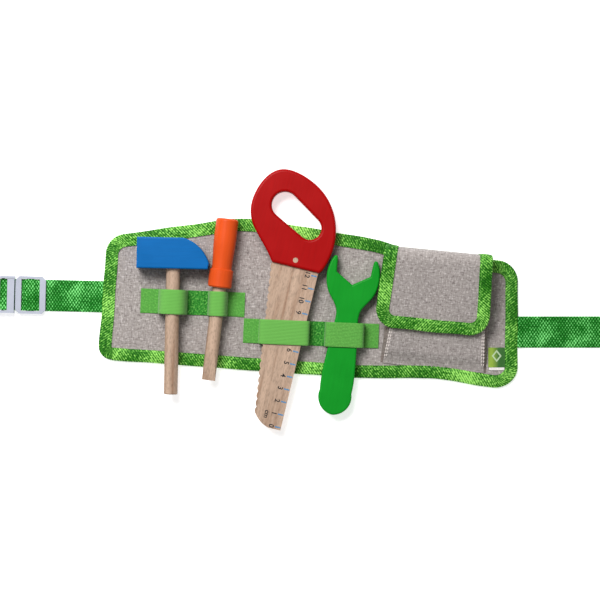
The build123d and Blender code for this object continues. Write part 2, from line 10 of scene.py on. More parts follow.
import bmesh
import bpy
import numpy as np
from bpy.props import FloatProperty, FloatVectorProperty, PointerProperty
from bpy.types import Operator, Panel, PropertyGroup
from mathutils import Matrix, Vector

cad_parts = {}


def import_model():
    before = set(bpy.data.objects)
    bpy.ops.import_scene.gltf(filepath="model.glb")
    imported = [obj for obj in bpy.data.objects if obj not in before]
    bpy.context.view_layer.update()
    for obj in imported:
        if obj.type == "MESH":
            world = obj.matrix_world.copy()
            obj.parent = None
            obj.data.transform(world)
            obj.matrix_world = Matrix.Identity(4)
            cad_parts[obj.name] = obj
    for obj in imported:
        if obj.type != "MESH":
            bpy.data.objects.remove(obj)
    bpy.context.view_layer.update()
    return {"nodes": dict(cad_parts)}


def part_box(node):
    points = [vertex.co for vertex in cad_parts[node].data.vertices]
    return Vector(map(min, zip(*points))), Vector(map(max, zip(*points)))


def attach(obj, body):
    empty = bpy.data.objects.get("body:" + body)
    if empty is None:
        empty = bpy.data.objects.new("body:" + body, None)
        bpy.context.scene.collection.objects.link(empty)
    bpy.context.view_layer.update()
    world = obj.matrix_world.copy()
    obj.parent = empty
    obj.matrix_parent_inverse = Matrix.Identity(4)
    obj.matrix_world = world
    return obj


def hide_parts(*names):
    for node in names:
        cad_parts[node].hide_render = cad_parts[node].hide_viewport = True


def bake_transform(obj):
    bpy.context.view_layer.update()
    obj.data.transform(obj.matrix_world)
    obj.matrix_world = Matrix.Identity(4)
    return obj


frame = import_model()

bl_info = {
    "name": "Toy Tool Belt",
    "version": (1, 0, 0),
    "blender": (4, 5, 0),
    "location": "View3D > Sidebar > Tool Belt",
    "description": "Makes the cloth, straps, markings and finishes of a toy tool belt",
    "category": "Object",
}

MM = 0.001

# ---- levels and sizes that the frame gives, in mm ---------------------------
def node_box(node):
    """The lowest and highest corner of a node of the frame, in mm."""
    return np.array(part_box(node)) / MM


CANVAS_TOP = node_box("panel_front")[1][2]
BINDING_TOP = node_box("panel_binding")[1][2]
BLADE_TOP = node_box("saw_blade")[1][2]

# ---- the panel's outline: its corners in order, and the round at each one ---
PANEL_CORNERS = np.array([
    (-162.9, -43.6), (-156.3, 51.5), (-49.7, 66.8), (56.0, 49.0), (74.0, 42.6),
    (163.3, 31.0), (162.3, -69.0), (97.0, -58.3), (37.0, -58.3),
])
PANEL_ROUNDS = [10.5, 17.0, 90.0, 40.0, 40.0, 17.0, 17.0, 60.0, 200.0]
PANEL_MIDDLE = np.array((0.0, -2.0))
# the cloth stops just short of the binding's fold
CLOTH_SHARE = 0.992
# the height where canvas and lining meet
PLY_LEVEL = 1.0

# ---- tapes and bands --------------------------------------------------------
BINDING_WIDTH = 9.5
BINDING_TAPE = 0.6
RIB_SLANT = 0.8
SEAM_INSET = 1.5
BAND_WIDTH = 19.0
BAND_TAPE = 1.0
BAND_LEAN = 2.4
LEFT_BAND = ((-129.8, 1.9), 80.8)
RIGHT_BAND = ((-50.1, -21.4), 105.0)
# each loop: its two feet along the band, the room under its roof, and how square it is,
# as the power of a superellipse
LEFT_LOOPS = [(15.0, 35.3, 15.9, 3.0), (53.4, 66.5, 15.95, 3.2)]
RIGHT_LOOPS = [(13.1, 50.1, 10.5, 9.0), (64.2, 92.4, 10.5, 8.0)]

# ---- straps -----------------------------------------------------------------
WEBBING_WIDTH = 24.4
WEBBING_TAPE = 1.4
LOOP_RADIUS = 2.1
STRAP_ROOT = 6.0
LEFT_STRAP_LENGTH = 74.8
RIGHT_STRAP_LENGTH = 74.0
STRAP_TAIL = 8.9
# a strap turns from this far before its hinge to this far past it
STRAP_BEND = 2.0
# the middle of the buckle bars that the webbing goes round
BAR_LEVEL = 2.8
SLIDER_MIDDLE = 53.55

# ---- pocket and flap --------------------------------------------------------
FOLD_CENTRE = (99.96, 40.75)
FOLD_LEAN = 5.65
MOUTH = -13.0
POCKET_FOOT = -88.0
MOUTH_DEPTH = 17.5
HEM_FOOT = -91.0
HEM_LEVEL = 2.9
FOOT_DEPTH = 6.0
FLAP_HALF_TOP = 40.6
FLAP_HALF_BOTTOM = 44.4
FLAP_SHIFT = 1.0
FLAP_DROP = 62.8
FLAP_CORNER = 15.0
FOLD_RADIUS = 8.2
FOLD_TOP = 22.95
# the flap turns between these two places, as distance from the fold and height
FLAP_BEND = ((0.0, 4.9), (-9.0, 22.9))
# cloth as it was cut, in mm: half across and half along, then its middle
PATCH_HALF = np.array((23.0, 9.0))
PATCH_MIDDLE = np.array((4.0, -44.0))

# ---- saw --------------------------------------------------------------------
SAW_FOOT = (-9.2, 27.1)
SAW_LEAN = 13.5
BLADE_EDGE = 17.5
RULER_ZERO = -123.0
RULER_STEP = 10.0
RULER_MARKS = 13
# a mark's two ends in from the blade's edge, and half its breadth
MARK_ENDS = (4.9, 0.5)
MARK_HALF = 0.55
# how far in the figures and the unit stand, and how tall they are
FIGURES = (7.9, 5.4)
UNIT = (13.4, 5.2)
UNIT_ALONG = 8.0
INK = 0.06

# ---- studio, in metres ------------------------------------------------------
FLOOR_HALF = 4.0
FLOOR_LEVEL = -0.0004
SOFT_BOX = (0.6, 0.5)
SOFT_BOX_PLACE = (-0.36, 0.56, 0.95)
FAR_CLIP = 50.0

# how far each tool leans to the right, in degrees
TOOL_LEANS = {"hammer": 1.2, "screwdriver": 6.75, "saw": SAW_LEAN, "wrench": 8.8}


# ---- what a user may change -------------------------------------------------
def linear(code):
    """An sRGB hex colour as linear red, green, blue and alpha."""
    parts = [int(code[k:k + 2], 16) / 255 for k in (1, 3, 5)]
    return [c / 12.92 if c <= 0.04045 else ((c + 0.055) / 1.055) ** 2.4 for c in parts] + [1.0]


def length(name, text, size):
    """A length property; size is in mm."""
    return FloatProperty(name=name, description=text, default=size * MM, unit="LENGTH", precision=5)


def colour(name, text, code):
    """A colour property; code is an sRGB hex colour."""
    return FloatVectorProperty(
        name=name, description=text, default=linear(code), size=4, subtype="COLOR", min=0, max=1
    )


class BeltSizes(PropertyGroup):
    """Sizes of the cloth's own detail."""

    thread_pitch: length("Canvas thread", "Spacing of the canvas's heather flecks", 1.1)
    rib_pitch: length("Binding rib", "Spacing of the binding's slanting ribs", 2.1)
    rib_height: length("Binding rib height", "How far a rib stands out of the tape", 0.14)
    knot_along: length("Webbing pitch along", "Spacing of the webbing's floats along it", 2.3)
    knot_across: length("Webbing pitch across", "Spacing of the webbing's floats across it", 3.4)
    knot_height: length("Webbing float height", "How far a float stands out", 0.16)
    elastic_pitch: length("Elastic rib", "Spacing of the elastic's ribs", 1.1)
    sewing_wave: length("Sewing wave", "How far sewn tape strays from its line", 0.3)
    canvas_wave: length("Canvas wave", "How far the canvas lifts and sinks", 0.3)
    stitch_pitch: length("Stitch pitch", "Distance from one stitch to the next", 2.9)


class BeltColours(PropertyGroup):
    """Colours of the cloth, thread, plastic and paint."""

    canvas: colour("Canvas", "Undyed linen and cotton threads", "#a29a96")
    canvas_dark: colour("Canvas, dark thread", "The heather's dark threads", "#7b7270")
    canvas_light: colour("Canvas, light thread", "The heather's light threads", "#cbc3c0")
    lining: colour("Lining", "Plain cotton at the back", "#c4bbb4")
    # the binding's dark hollows and bright crests are painted shade and painted highlight
    tape_dark: colour("Binding, painted hollow shade", "Between the binding's ribs", "#0f5203")
    tape_mid: colour("Binding", "The binding's own colour", "#318018")
    tape_light: colour("Binding, painted crest highlight", "The shine on the binding's ribs", "#a8f070")
    # the webbing's dark hollows and bright floats are painted shade and painted highlight
    webbing_dark: colour("Webbing, hollows", "Between the webbing's floats", "#005a06")
    webbing_mid: colour("Webbing", "The webbing's own colour", "#0b7d16")
    webbing_light: colour("Webbing, floats", "The shine on the webbing's floats", "#8cf28c")
    elastic_loop: colour("Elastic, stretched", "The loops, pulled open", "#68b04c")
    # the stitched-down stretches' colour: partly the elastic's own darker colour, partly painted
    # shade between the loops
    elastic_sewn: colour("Elastic, sewn", "The stretches that are sewn down", "#1f8420")
    plastic: colour("Plastic", "Slider and buckle", "#b0b4c2")
    blue: colour("Blue paint", "Hammer head", "#0060a4")
    orange: colour("Orange paint", "Screwdriver grip", "#d8501c")
    red: colour("Red paint", "Saw handle", "#a00203")
    green: colour("Green paint", "Wrench", "#0d9022")
    wood: colour("Beech", "Bare sanded beech", "#b89c86")


class BeltStage(PropertyGroup):
    """Floor, light and camera."""

    view_width: length("View width", "How much of the belt the camera sees across", 466.2)
    view_centre_x: length("View centre, X", "Where the camera stands along the belt", -6.2)
    view_centre_y: length("View centre, Y", "Where the camera stands across the belt", 2.3)
    lens: FloatProperty(name="Lens", description="Focal length in mm", default=150.0, min=20)
    floor: colour("Floor", "Opal table", "#f7f7f7")
    sky: FloatProperty(name="Fill light", description="Strength of the even light", default=0.3)
    key: FloatProperty(name="Key light", description="Soft box, in watts", default=15.2)


def sizes(name):
    """One of the user's lengths, in mm."""
    return getattr(bpy.context.scene.belt_sizes, name) / MM


def tint(name):
    """One of the user's colours, linear."""
    return tuple(getattr(bpy.context.scene.belt_colours, name))


# ---- lines and surfaces -----------------------------------------------------
def lean_frame(foot, lean):
    """A flat frame whose second axis leans to the right by lean degrees.

    place(across, along, height) gives foot + across x side + along x up, with height as Z.
    """
    turn = math.radians(lean)
    side = np.array((math.cos(turn), -math.sin(turn)))
    up = np.array((math.sin(turn), math.cos(turn)))

    def place(across, along, height):
        across, along, height = np.broadcast_arrays(across, along, height)
        flat = np.array(foot) + across[..., None] * side + along[..., None] * up
        return np.concatenate([flat, height[..., None]], axis=-1)

    return place


def pairs(first, second):
    """Two arrays side by side, as points of a plane."""
    return np.stack(np.broadcast_arrays(first, second), axis=-1)


def even_run(line, step, closed=False):
    """A line cut into equal steps: its points, unit directions and distances along it.

    The distance along is the running sum of the pieces' lengths, and each new point is read
    from the old ones at an even spacing of that distance.
    """
    if closed:
        line = np.concatenate([line, line[:1]])
    pieces = np.linalg.norm(np.diff(line, axis=0), axis=1)
    far = np.concatenate([[0.0], np.cumsum(pieces)])
    count = int(round(far[-1] / step)) + 1
    along = np.linspace(0.0, far[-1], count)
    points = np.stack([np.interp(along, far, line[:, k]) for k in range(line.shape[1])], axis=1)
    if closed:
        points = points[:-1]
        ahead = np.roll(points, -1, axis=0) - np.roll(points, 1, axis=0)
    else:
        ahead = np.gradient(points, axis=0)
    return points, ahead / np.linalg.norm(ahead, axis=1, keepdims=True), along


def eased(line, reach):
    """The same line, eased reach times: half each point and a quarter of each neighbour."""
    for _ in range(reach):
        line[1:-1] = (line[:-2] + 2 * line[1:-1] + line[2:]) / 4
    return line


def rounded_outline(corners, rounds, step):
    """A closed outline of straight runs and corner arcs, at even steps, with inward normals.

    An arc starts radius x tan(half the turn) before its corner and runs through the turn:
    start + radius x (sin(angle) ahead + (1 - cos(angle)) inward).
    """
    parts = []
    for k, (corner, radius) in enumerate(zip(corners, rounds)):
        before = corner - corners[k - 1]
        after = corners[(k + 1) % len(corners)] - corner
        before = before / np.linalg.norm(before)
        after = after / np.linalg.norm(after)
        turn = math.atan2(before[0] * after[1] - before[1] * after[0], before @ after)
        start = corner - before * radius * math.tan(abs(turn) / 2)
        inward = np.array((-before[1], before[0])) * math.copysign(1, turn)
        angle = np.linspace(0, abs(turn), 40)[:, None]
        parts.append(start + radius * (np.sin(angle) * before + (1 - np.cos(angle)) * inward))
    points, ahead, along = even_run(np.concatenate(parts), step, closed=True)
    return points, np.stack([ahead[:, 1], -ahead[:, 0]], axis=1), along


def ripple(x, y, height, wavelength, seed):
    """Soft waves: height / 3 x the sum of six sines of seeded direction, length and phase."""
    random = np.random.default_rng(seed)
    total = np.zeros(np.broadcast(x, y).shape)
    for _ in range(6):
        angle, phase = random.uniform(0, 2 * np.pi, 2)
        pace = 2 * np.pi / (wavelength * random.uniform(0.6, 1.7))
        total += np.sin(pace * (x * np.cos(angle) + y * np.sin(angle)) + phase)
    return height * total / 3


def smooth_step(value):
    """0 below 0, 1 above 1, and 3 t^2 - 2 t^3 between."""
    t = np.clip(value, 0, 1)
    return t * t * (3 - 2 * t)


def inside_panel(x, y):
    """How far each point lies inside the panel's outline, in mm, never below 0."""
    edge, inward, _ = rounded_outline(PANEL_CORNERS, PANEL_ROUNDS, 3.0)
    away = np.stack([x.ravel(), y.ravel()], axis=1)[:, None] - edge[None]
    nearest = np.argmin((away ** 2).sum(-1), axis=1)
    rows = np.arange(len(nearest))
    depth = (away[rows, nearest] * inward[nearest]).sum(-1)
    return np.maximum(depth, 0).reshape(x.shape)


def skin(name, outer, inner, flat, closed=False, pole=False):
    """A closed mesh between two grids of points, (rows, columns, 3) in mm.

    Columns run out over the outer grid and back over the inner one, so the two share their
    edges. Rows meet again where closed is set, and end in caps where not. With pole set, the
    first column is a seam that folds shut on itself. flat is where each point lies on the
    cloth spread out, in mm, and becomes the UV map in metres.
    """
    ring = np.concatenate([outer, inner[:, ::-1]], axis=1)
    spread = np.concatenate([flat, flat[:, ::-1]], axis=1)
    rows, columns = ring.shape[:2]
    last_row = rows if closed else rows - 1
    last_column = columns - 1 if pole else columns
    i, j = np.meshgrid(np.arange(last_row), np.arange(last_column), indexing="ij")
    row = np.stack([i, i + 1, i + 1, i], axis=-1).reshape(-1, 4)
    column = np.stack([j, j, j + 1, j + 1], axis=-1).reshape(-1, 4) % columns
    if not closed:
        k = np.arange(columns // 2 - 1)
        cap = np.stack([k, k + 1, columns - 2 - k, columns - 1 - k], axis=-1)
        row = np.concatenate([row, np.zeros_like(cap), np.full_like(cap, rows - 1)])
        column = np.concatenate([column, cap, cap[:, ::-1]])
    row = row % rows
    faces = row * columns + column
    uv = spread[row, column] * MM
    return solid_mesh(name, ring.reshape(-1, 3) * MM, faces, uv, weld=pole)


def solid_mesh(name, points, faces, uv=None, weld=False):
    """A mesh from arrays in metres, with its faces turned outwards.

    Corners a, b, c and d of each face give (a x b) . c + (a x c) . d. The sum is six times
    the volume, and below zero it means that the faces look inwards.
    """
    a, b, c, d = (points[faces[:, k]] for k in range(4))
    volume = (np.cross(a, b) * c).sum() + (np.cross(a, c) * d).sum()
    if volume < 0:
        faces = faces[:, ::-1]
        uv = None if uv is None else uv[:, ::-1]
    mesh = bpy.data.meshes.new(name)
    mesh.vertices.add(len(points))
    mesh.vertices.foreach_set("co", points.astype(np.float32).ravel())
    mesh.loops.add(faces.size)
    mesh.loops.foreach_set("vertex_index", np.ascontiguousarray(faces, dtype=np.int32).ravel())
    mesh.polygons.add(len(faces))
    mesh.polygons.foreach_set("loop_start", np.arange(0, faces.size, 4, dtype=np.int32))
    if uv is not None:
        layer = mesh.uv_layers.new(name="flat")
        layer.data.foreach_set("uv", np.ascontiguousarray(uv, dtype=np.float32).ravel())
    mesh.update(calc_edges=True)
    if weld:
        work = bmesh.new()
        work.from_mesh(mesh)
        bmesh.ops.remove_doubles(work, verts=work.verts, dist=1e-6)
        work.to_mesh(mesh)
        work.free()
    mesh.shade_smooth()
    mesh.set_sharp_from_angle(angle=math.radians(55))
    return mesh


def piece(name, mesh, finish, body=None, stands_for=(), bends=None):
    """An object for a mesh: finished, and riding on a body, or, where bends is given, with its
    place baked in and no body.
    """
    made = bpy.data.objects.new(name, mesh)
    bpy.context.collection.objects.link(made)
    made.data.materials.clear()
    made.data.materials.append(finish)
    if bends:
        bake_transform(made)
    else:
        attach(made, body)
    if stands_for:
        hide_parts(*stands_for)
    return made


# ---- finishes ---------------------------------------------------------------
# how a Mix node lays one colour over another, and how it multiplies two
OVER = {"data_type": "RGBA", "out": 2}
TIMES = {"data_type": "RGBA", "blend_type": "MULTIPLY", "out": 2}


def add(tree, kind, inputs=None, stops=(), out=0, **settings):
    """Add a shader node with its settings, inputs and ramp stops, and give its output."""
    made = tree.nodes.new("ShaderNode" + kind)
    for key, value in settings.items():
        setattr(made, key, value)
    for key, value in (inputs or {}).items():
        if isinstance(value, bpy.types.NodeSocket):
            tree.links.new(value, made.inputs[key])
        else:
            made.inputs[key].default_value = value
    for k, (place, shade) in enumerate(stops):
        stop = made.color_ramp.elements[k] if k < 2 else made.color_ramp.elements.new(place)
        stop.position = place
        stop.color = shade
    return made.outputs[out]


def new_finish(name, **shader):
    """A fresh material and its nodes; plain numbers are set on the shader's own sockets."""
    finish = bpy.data.materials.new(name)
    finish.use_nodes = True
    surface = finish.node_tree.nodes["Principled BSDF"]
    for key, value in shader.items():
        surface.inputs[key.replace("_", " ")].default_value = value
    return finish, finish.node_tree


def dressed(finish, height, depth, strength=0.6, **patterns):
    """Link a finish's patterns to its shader; height, 0 to 1, raises it by depth, in mm."""
    tree = finish.node_tree
    surface = tree.nodes["Principled BSDF"]
    patterns["Normal"] = add(
        tree, "Bump", {"Height": height, "Strength": strength, "Distance": depth * MM})
    for key, pattern in patterns.items():
        tree.links.new(pattern, surface.inputs[key.replace("_", " ")])
    return finish


def grain(size):
    """A noise's scale for blobs of a size in mm."""
    return 1 / (size * MM)


def bands(pitch):
    """A wave's scale for bands pitch mm apart: 0.5 - 0.5 cos(20 x scale x place)."""
    return 2 * math.pi / (20 * pitch * MM)


def layered(tree, pattern, weight, noises, low, high):
    """A pattern plus noises, each times its weight, brought from low and high to 0 and 1."""
    total = add(tree, "Math", {0: pattern, 1: weight}, operation="MULTIPLY")
    for vector, size, share in noises:
        noise = add(tree, "TexNoise", {"Vector": vector, "Scale": grain(size), "Detail": 2.0})
        total = add(tree, "Math", {0: noise, 1: share, 2: total}, operation="MULTIPLY_ADD")
    return add(tree, "MapRange", {"Value": total, "From Min": low, "From Max": high})


def canvas_finish(name, mid, dark, light, pitch):
    """Heathered linen and cotton canvas, plain woven and washed: soft, matt and flecked.

    Dark and pale fibres lie along both threads, so two stretched noises at right angles mix
    with a fine fleck. The real thread is too fine to show, so it is drawn coarser.
    """
    finish, tree = new_finish(
        name, Roughness=0.92, Sheen_Weight=0.25, Sheen_Roughness=0.5, Specular_IOR_Level=0.2)
    flat = add(tree, "UVMap", uv_map="flat")
    threads = []
    for stretch in ((1.0, 0.3, 1.0), (0.3, 1.0, 1.0)):
        placed = add(tree, "Mapping", {"Vector": flat, "Scale": stretch})
        threads.append(add(tree, "TexNoise", {
            "Vector": placed, "Scale": grain(pitch), "Detail": 3.0, "Roughness": 0.7}))
    both = add(tree, "Math", {0: threads[0], 1: threads[1]}, operation="ADD")
    half = add(tree, "Math", {0: both, 1: 0.5}, operation="MULTIPLY")
    shade = add(tree, "ValToRGB", {"Fac": half},
                stops=[(0.4, dark), (0.6, light), (0.47, mid), (0.53, mid)])
    cloud = add(tree, "TexNoise", {"Vector": flat, "Scale": grain(35.71), "Detail": 2.0})
    worn = add(tree, "MapRange", {"Value": cloud, "To Min": 0.86, "To Max": 1.14})
    even = add(tree, "Mix", {0: 1.0, 6: shade, 7: worn}, **TIMES)
    warp, weft = (
        add(tree, "TexWave", {"Vector": flat, "Scale": bands(pitch * 0.7)},
            bands_direction=axis, out="Fac") for axis in "XY")
    cross = add(tree, "Math", {0: warp, 1: weft}, operation="MULTIPLY")
    rough = add(tree, "Math", {0: cross, 1: half}, operation="ADD")
    return dressed(finish, rough, 0.25, Base_Color=even)


def binding_finish():
    """Twill polyester binding tape, its slanting ribs painted with a highlight on the crests and
    painted shade in the hollows.

    The ribs are bands across u + 0.8 v. Yarn-sized noise breaks them up, and a slow one paints
    whole stretches lighter and darker, as painted light and shade.
    """
    finish, tree = new_finish(
        "Polyester binding tape, twill", Roughness=0.6, Specular_IOR_Level=0.15)
    flat = add(tree, "UVMap", uv_map="flat")
    u = add(tree, "SeparateXYZ", {"Vector": flat})
    v = u.node.outputs["Y"]
    slope = add(tree, "Math", {0: v, 1: RIB_SLANT, 2: u}, operation="MULTIPLY_ADD")
    line = add(tree, "CombineXYZ", {"X": slope})
    rib = add(tree, "TexWave", {"Vector": line, "Scale": bands(sizes("rib_pitch"))}, out="Fac")
    # the slow noise paints whole stretches lighter and darker, as painted light and shade
    level = layered(tree, rib, 0.75, [(flat, 1.786, 3.2), (flat, 29.41, 2.8)], 2.45, 4.35)
    # the ramp paints shade in the rib hollows and a highlight on the crests
    shade = add(
        tree, "ValToRGB", {"Fac": level},
        stops=[(0.08, tint("tape_dark")), (0.92, tint("tape_light")), (0.48, tint("tape_mid"))])
    return dressed(finish, level, 0.35, Base_Color=shade)


def webbing_finish():
    """Woven polyester webbing: yarn floats in staggered rows, painted with a highlight on the
    floats and painted shade in the hollows between them.

    The floats are the tops of cos(2 pi u / a) x cos(2 pi v / b).
    """
    finish, tree = new_finish(
        "Polyester webbing, woven", Roughness=0.55, Specular_IOR_Level=0.15)
    flat = add(tree, "UVMap", uv_map="flat")
    pair = []
    for axis, pitch in (("X", "knot_along"), ("Y", "knot_across")):
        band = add(tree, "TexWave", {"Vector": flat, "Scale": bands(sizes(pitch))},
                   bands_direction=axis, out="Fac")
        pair.append(add(tree, "MapRange", {"Value": band, "To Min": -1.0, "To Max": 1.0}))
    floats = add(tree, "Math", {0: pair[0], 1: pair[1]}, operation="MULTIPLY")
    level = layered(tree, floats, 0.8, [(flat, 1.667, 2.2), (flat, 16.67, 2.4)], 1.2, 3.5)
    # the ramp paints shade in the hollows and a highlight on the floats
    shade = add(
        tree, "ValToRGB", {"Fac": level},
        stops=[(0.22, tint("webbing_dark")), (0.95, tint("webbing_light")),
               (0.55, tint("webbing_mid"))])
    return dressed(finish, level, 0.35, Base_Color=shade)


def elastic_finish():
    """Knitted elastic tape: fine even ribs where it is stretched, dark and pitted where stitched
    down, with painted shade.

    The piece's own "sewn" attribute says how firmly each place is stitched down, plus painted shade
    between the loops and a painted shadow of the pocket on the right band's end.
    """
    finish, tree = new_finish(
        "Knitted elastic tape", Roughness=0.8, Sheen_Weight=0.2, Specular_IOR_Level=0.25)
    flat = add(tree, "UVMap", uv_map="flat")
    # 0 on the loops, up to 1 where stitched down; part of this darkening is painted shade
    sewn = add(tree, "Attribute", attribute_name="sewn", out="Fac")
    rib = add(tree, "TexWave", {"Vector": flat, "Scale": bands(sizes("elastic_pitch"))},
              bands_direction="Y", out="Fac")
    pits = add(tree, "TexNoise", {"Vector": flat, "Scale": grain(1.333), "Detail": 2.0})
    ribbed = add(tree, "MapRange", {"Value": rib, "To Min": 0.88, "To Max": 1.06})
    loop = add(tree, "Mix", {0: 1.0, 6: tint("elastic_loop"), 7: ribbed}, **TIMES)
    pitted = add(
        tree, "ValToRGB", {"Fac": pits},
        stops=[(0.36, linear("#0e5c10")), (0.68, tint("elastic_loop")),
               (0.5, tint("elastic_sewn"))])
    shade = add(tree, "Mix", {0: sewn, 6: loop, 7: pitted}, **OVER)
    height = add(tree, "Math", {0: rib, 1: pits}, operation="ADD")
    return dressed(finish, height, 0.2, Base_Color=shade)


def paint_finish(name, shade, lean):
    """Water-based paint on turned or sawn beech: satin, with the grain just telling through.

    The grain runs along the tool, so a noise is stretched along the leaning axis.
    """
    finish, tree = new_finish(name, Roughness=0.38, Specular_IOR_Level=0.12)
    place = add(tree, "TexCoord", out="Object")
    turned = add(tree, "Mapping", {"Vector": place, "Rotation": (0, 0, math.radians(lean))})
    long_way = add(tree, "Mapping", {"Vector": turned, "Scale": (1.0, 0.07, 1.0)})
    line = add(tree, "TexNoise", {"Vector": long_way, "Scale": grain(1.538), "Detail": 3.0})
    cloud = add(tree, "TexNoise", {"Vector": place, "Scale": grain(16.67), "Detail": 3.0})
    both = add(tree, "Math", {0: line, 1: cloud}, operation="ADD")
    tone = add(tree, "MapRange", {
        "Value": both, "From Min": 0.5, "From Max": 1.5, "To Min": 0.9, "To Max": 1.1})
    coat = add(tree, "Mix", {0: 1.0, 6: shade, 7: tone}, **TIMES)
    dull = add(tree, "MapRange", {"Value": cloud, "To Min": 0.3, "To Max": 0.5})
    return dressed(finish, line, 0.08, 0.35, Base_Color=coat, Roughness=dull)


def beech_finish(name, lean):
    """Bare sanded beech: pale and pinkish, with long faint lines and short dark ray flecks."""
    finish, tree = new_finish(name, Roughness=0.62, IOR=1.5, Specular_IOR_Level=0.35)
    place = add(tree, "TexCoord", out="Object")
    turned = add(tree, "Mapping", {"Vector": place, "Rotation": (0, 0, math.radians(lean))})
    lines, rays = (
        add(tree, "TexNoise", {
            "Vector": add(tree, "Mapping", {"Vector": turned, "Scale": stretch}),
            "Scale": grain(size), "Detail": detail})
        for stretch, size, detail in (
            ((1.0, 0.05, 1.0), 3.846, 4.0), ((1.0, 0.3, 1.0), 0.9091, 2.0)))
    wood = tint("wood")
    dark = tuple(c * k for c, k in zip(wood, (0.72, 0.62, 0.55, 1.0)))
    pale = tuple(min(c * 1.16, 1.0) for c in wood)
    rings = add(tree, "ValToRGB", {"Fac": lines}, stops=[(0.3, dark), (0.7, pale), (0.5, wood)])
    fleck = add(tree, "MapRange", {
        "Value": rays, "From Min": 0.3, "From Max": 0.55, "To Min": 0.72, "To Max": 1.0})
    shade = add(tree, "Mix", {0: 1.0, 6: rings, 7: fleck}, **TIMES)
    return dressed(finish, rays, 0.12, 0.5, Base_Color=shade)


def plastic_finish():
    """Moulded acetal: satin, faintly mottled by the mould's fine spark-eroded texture."""
    finish, tree = new_finish(
        "Acetal, moulded", Roughness=0.4, IOR=1.48, Subsurface_Weight=0.1,
        Subsurface_Radius=(0.002, 0.002, 0.002))
    place = add(tree, "TexCoord", out="Object")
    grit = add(tree, "TexNoise", {"Vector": place, "Scale": grain(0.4545), "Detail": 2.0})
    flow = add(tree, "TexNoise", {"Vector": place, "Scale": grain(8.333), "Detail": 2.0})
    tone = add(tree, "MapRange", {"Value": flow, "To Min": 0.9, "To Max": 1.08})
    shade = add(tree, "Mix", {0: 1.0, 6: tint("plastic"), 7: tone}, **TIMES)
    return dressed(finish, grit, 0.05, 0.4, Base_Color=shade)


def speckled_finish(name, first, second, size, depth, **shader):
    """Two tones mixed by a noise of the given grain, in mm, which also raises the surface."""
    finish, tree = new_finish(name, **shader)
    place = add(tree, "TexCoord", out="Object")
    noise = add(tree, "TexNoise", {"Vector": place, "Scale": grain(size), "Detail": 3.0})
    shade = add(tree, "ValToRGB", {"Fac": noise}, stops=[(0.35, first), (0.65, second)])
    return dressed(finish, noise, depth, Base_Color=shade)


def label_finish():
    """Damask-woven label: satin yarn, lime to dark green, with a pale plain diamond.

    The diamond is where |u| + 0.8 |v - 1.2 mm| lies close to 3.1 mm.
    """
    finish, tree = new_finish("Damask woven label", Roughness=0.5, Sheen_Weight=0.3)
    flat = add(tree, "UVMap", uv_map="flat")
    u = add(tree, "SeparateXYZ", {"Vector": flat})
    v = u.node.outputs["Y"]
    side = add(tree, "MapRange", {"Value": u, "From Min": -3.5 * MM, "From Max": 1.5 * MM})
    thread = add(tree, "TexWave", {"Vector": flat, "Scale": bands(0.5)},
                 bands_direction="Y", out="Fac")
    ground = add(tree, "Mix", {0: side, 6: linear("#8fb02c"), 7: linear("#23650f")}, **OVER)
    across = add(tree, "Math", {0: u}, operation="ABSOLUTE")
    down = add(tree, "Math", {0: v, 1: 1.2 * MM}, operation="SUBTRACT")
    down = add(tree, "Math", {0: down}, operation="ABSOLUTE")
    reach = add(tree, "Math", {0: down, 1: 0.8, 2: across}, operation="MULTIPLY_ADD")
    off_line = add(tree, "Math", {0: reach, 1: 3.1 * MM}, operation="SUBTRACT")
    off_line = add(tree, "Math", {0: off_line}, operation="ABSOLUTE")
    motif = add(tree, "MapRange", {
        "Value": off_line, "From Min": 0.45 * MM, "From Max": 0.9 * MM,
        "To Min": 0.85, "To Max": 0.0})
    shade = add(tree, "Mix", {0: motif, 6: ground, 7: linear("#c4dcb4")}, **OVER)
    woven = add(tree, "MapRange", {"Value": thread, "To Min": 0.85, "To Max": 1.1})
    shade = add(tree, "Mix", {0: 1.0, 6: shade, 7: woven}, **TIMES)
    return dressed(finish, thread, 0.1, Base_Color=shade)


# each speckled finish: its material, two tones, grain and relief in mm, shader's numbers
SPECKLED = {
    # bright and smooth, with a soft shine
    "care tape": ("Satin care tape, slit and heat cut", "#e4dcd8", "#f6f2f0", 0.8, 0.05,
                  {"Roughness": 0.45}),
    # a deep matt pile
    "loop tape": ("Loop tape, brushed nylon", "#837c77", "#b5aea8", 0.9, 0.6,
                  {"Roughness": 0.95, "Sheen_Weight": 0.6}),
    # stiff bristles, coarser than the pile
    "hook tape": ("Hook tape, moulded nylon", "#8f8984", "#bdb7b1", 1.3, 0.8,
                  {"Roughness": 0.6}),
    # twisted yarn that glints along each stitch
    "thread": ("Sewing thread, spun polyester", "#3f8f22", "#7fcf4c", 0.9, 0.05,
               {"Roughness": 0.6, "Sheen_Weight": 0.3}),
    "pale thread": ("Sewing thread, undyed", "#d9ccc6", "#f0e6e0", 0.9, 0.05,
                    {"Roughness": 0.6, "Sheen_Weight": 0.3}),
    # thin ink that the wood's grain breaks up
    "blue ink": ("Pad-printed ink, blue", "#3c73a5", "#6d96b4", 0.9, 0.02,
                 {"Roughness": 0.55}),
    "black ink": ("Pad-printed ink, black", "#040304", "#100c0d", 0.7, 0.02,
                  {"Roughness": 0.55}),
}
FINISHES = {}


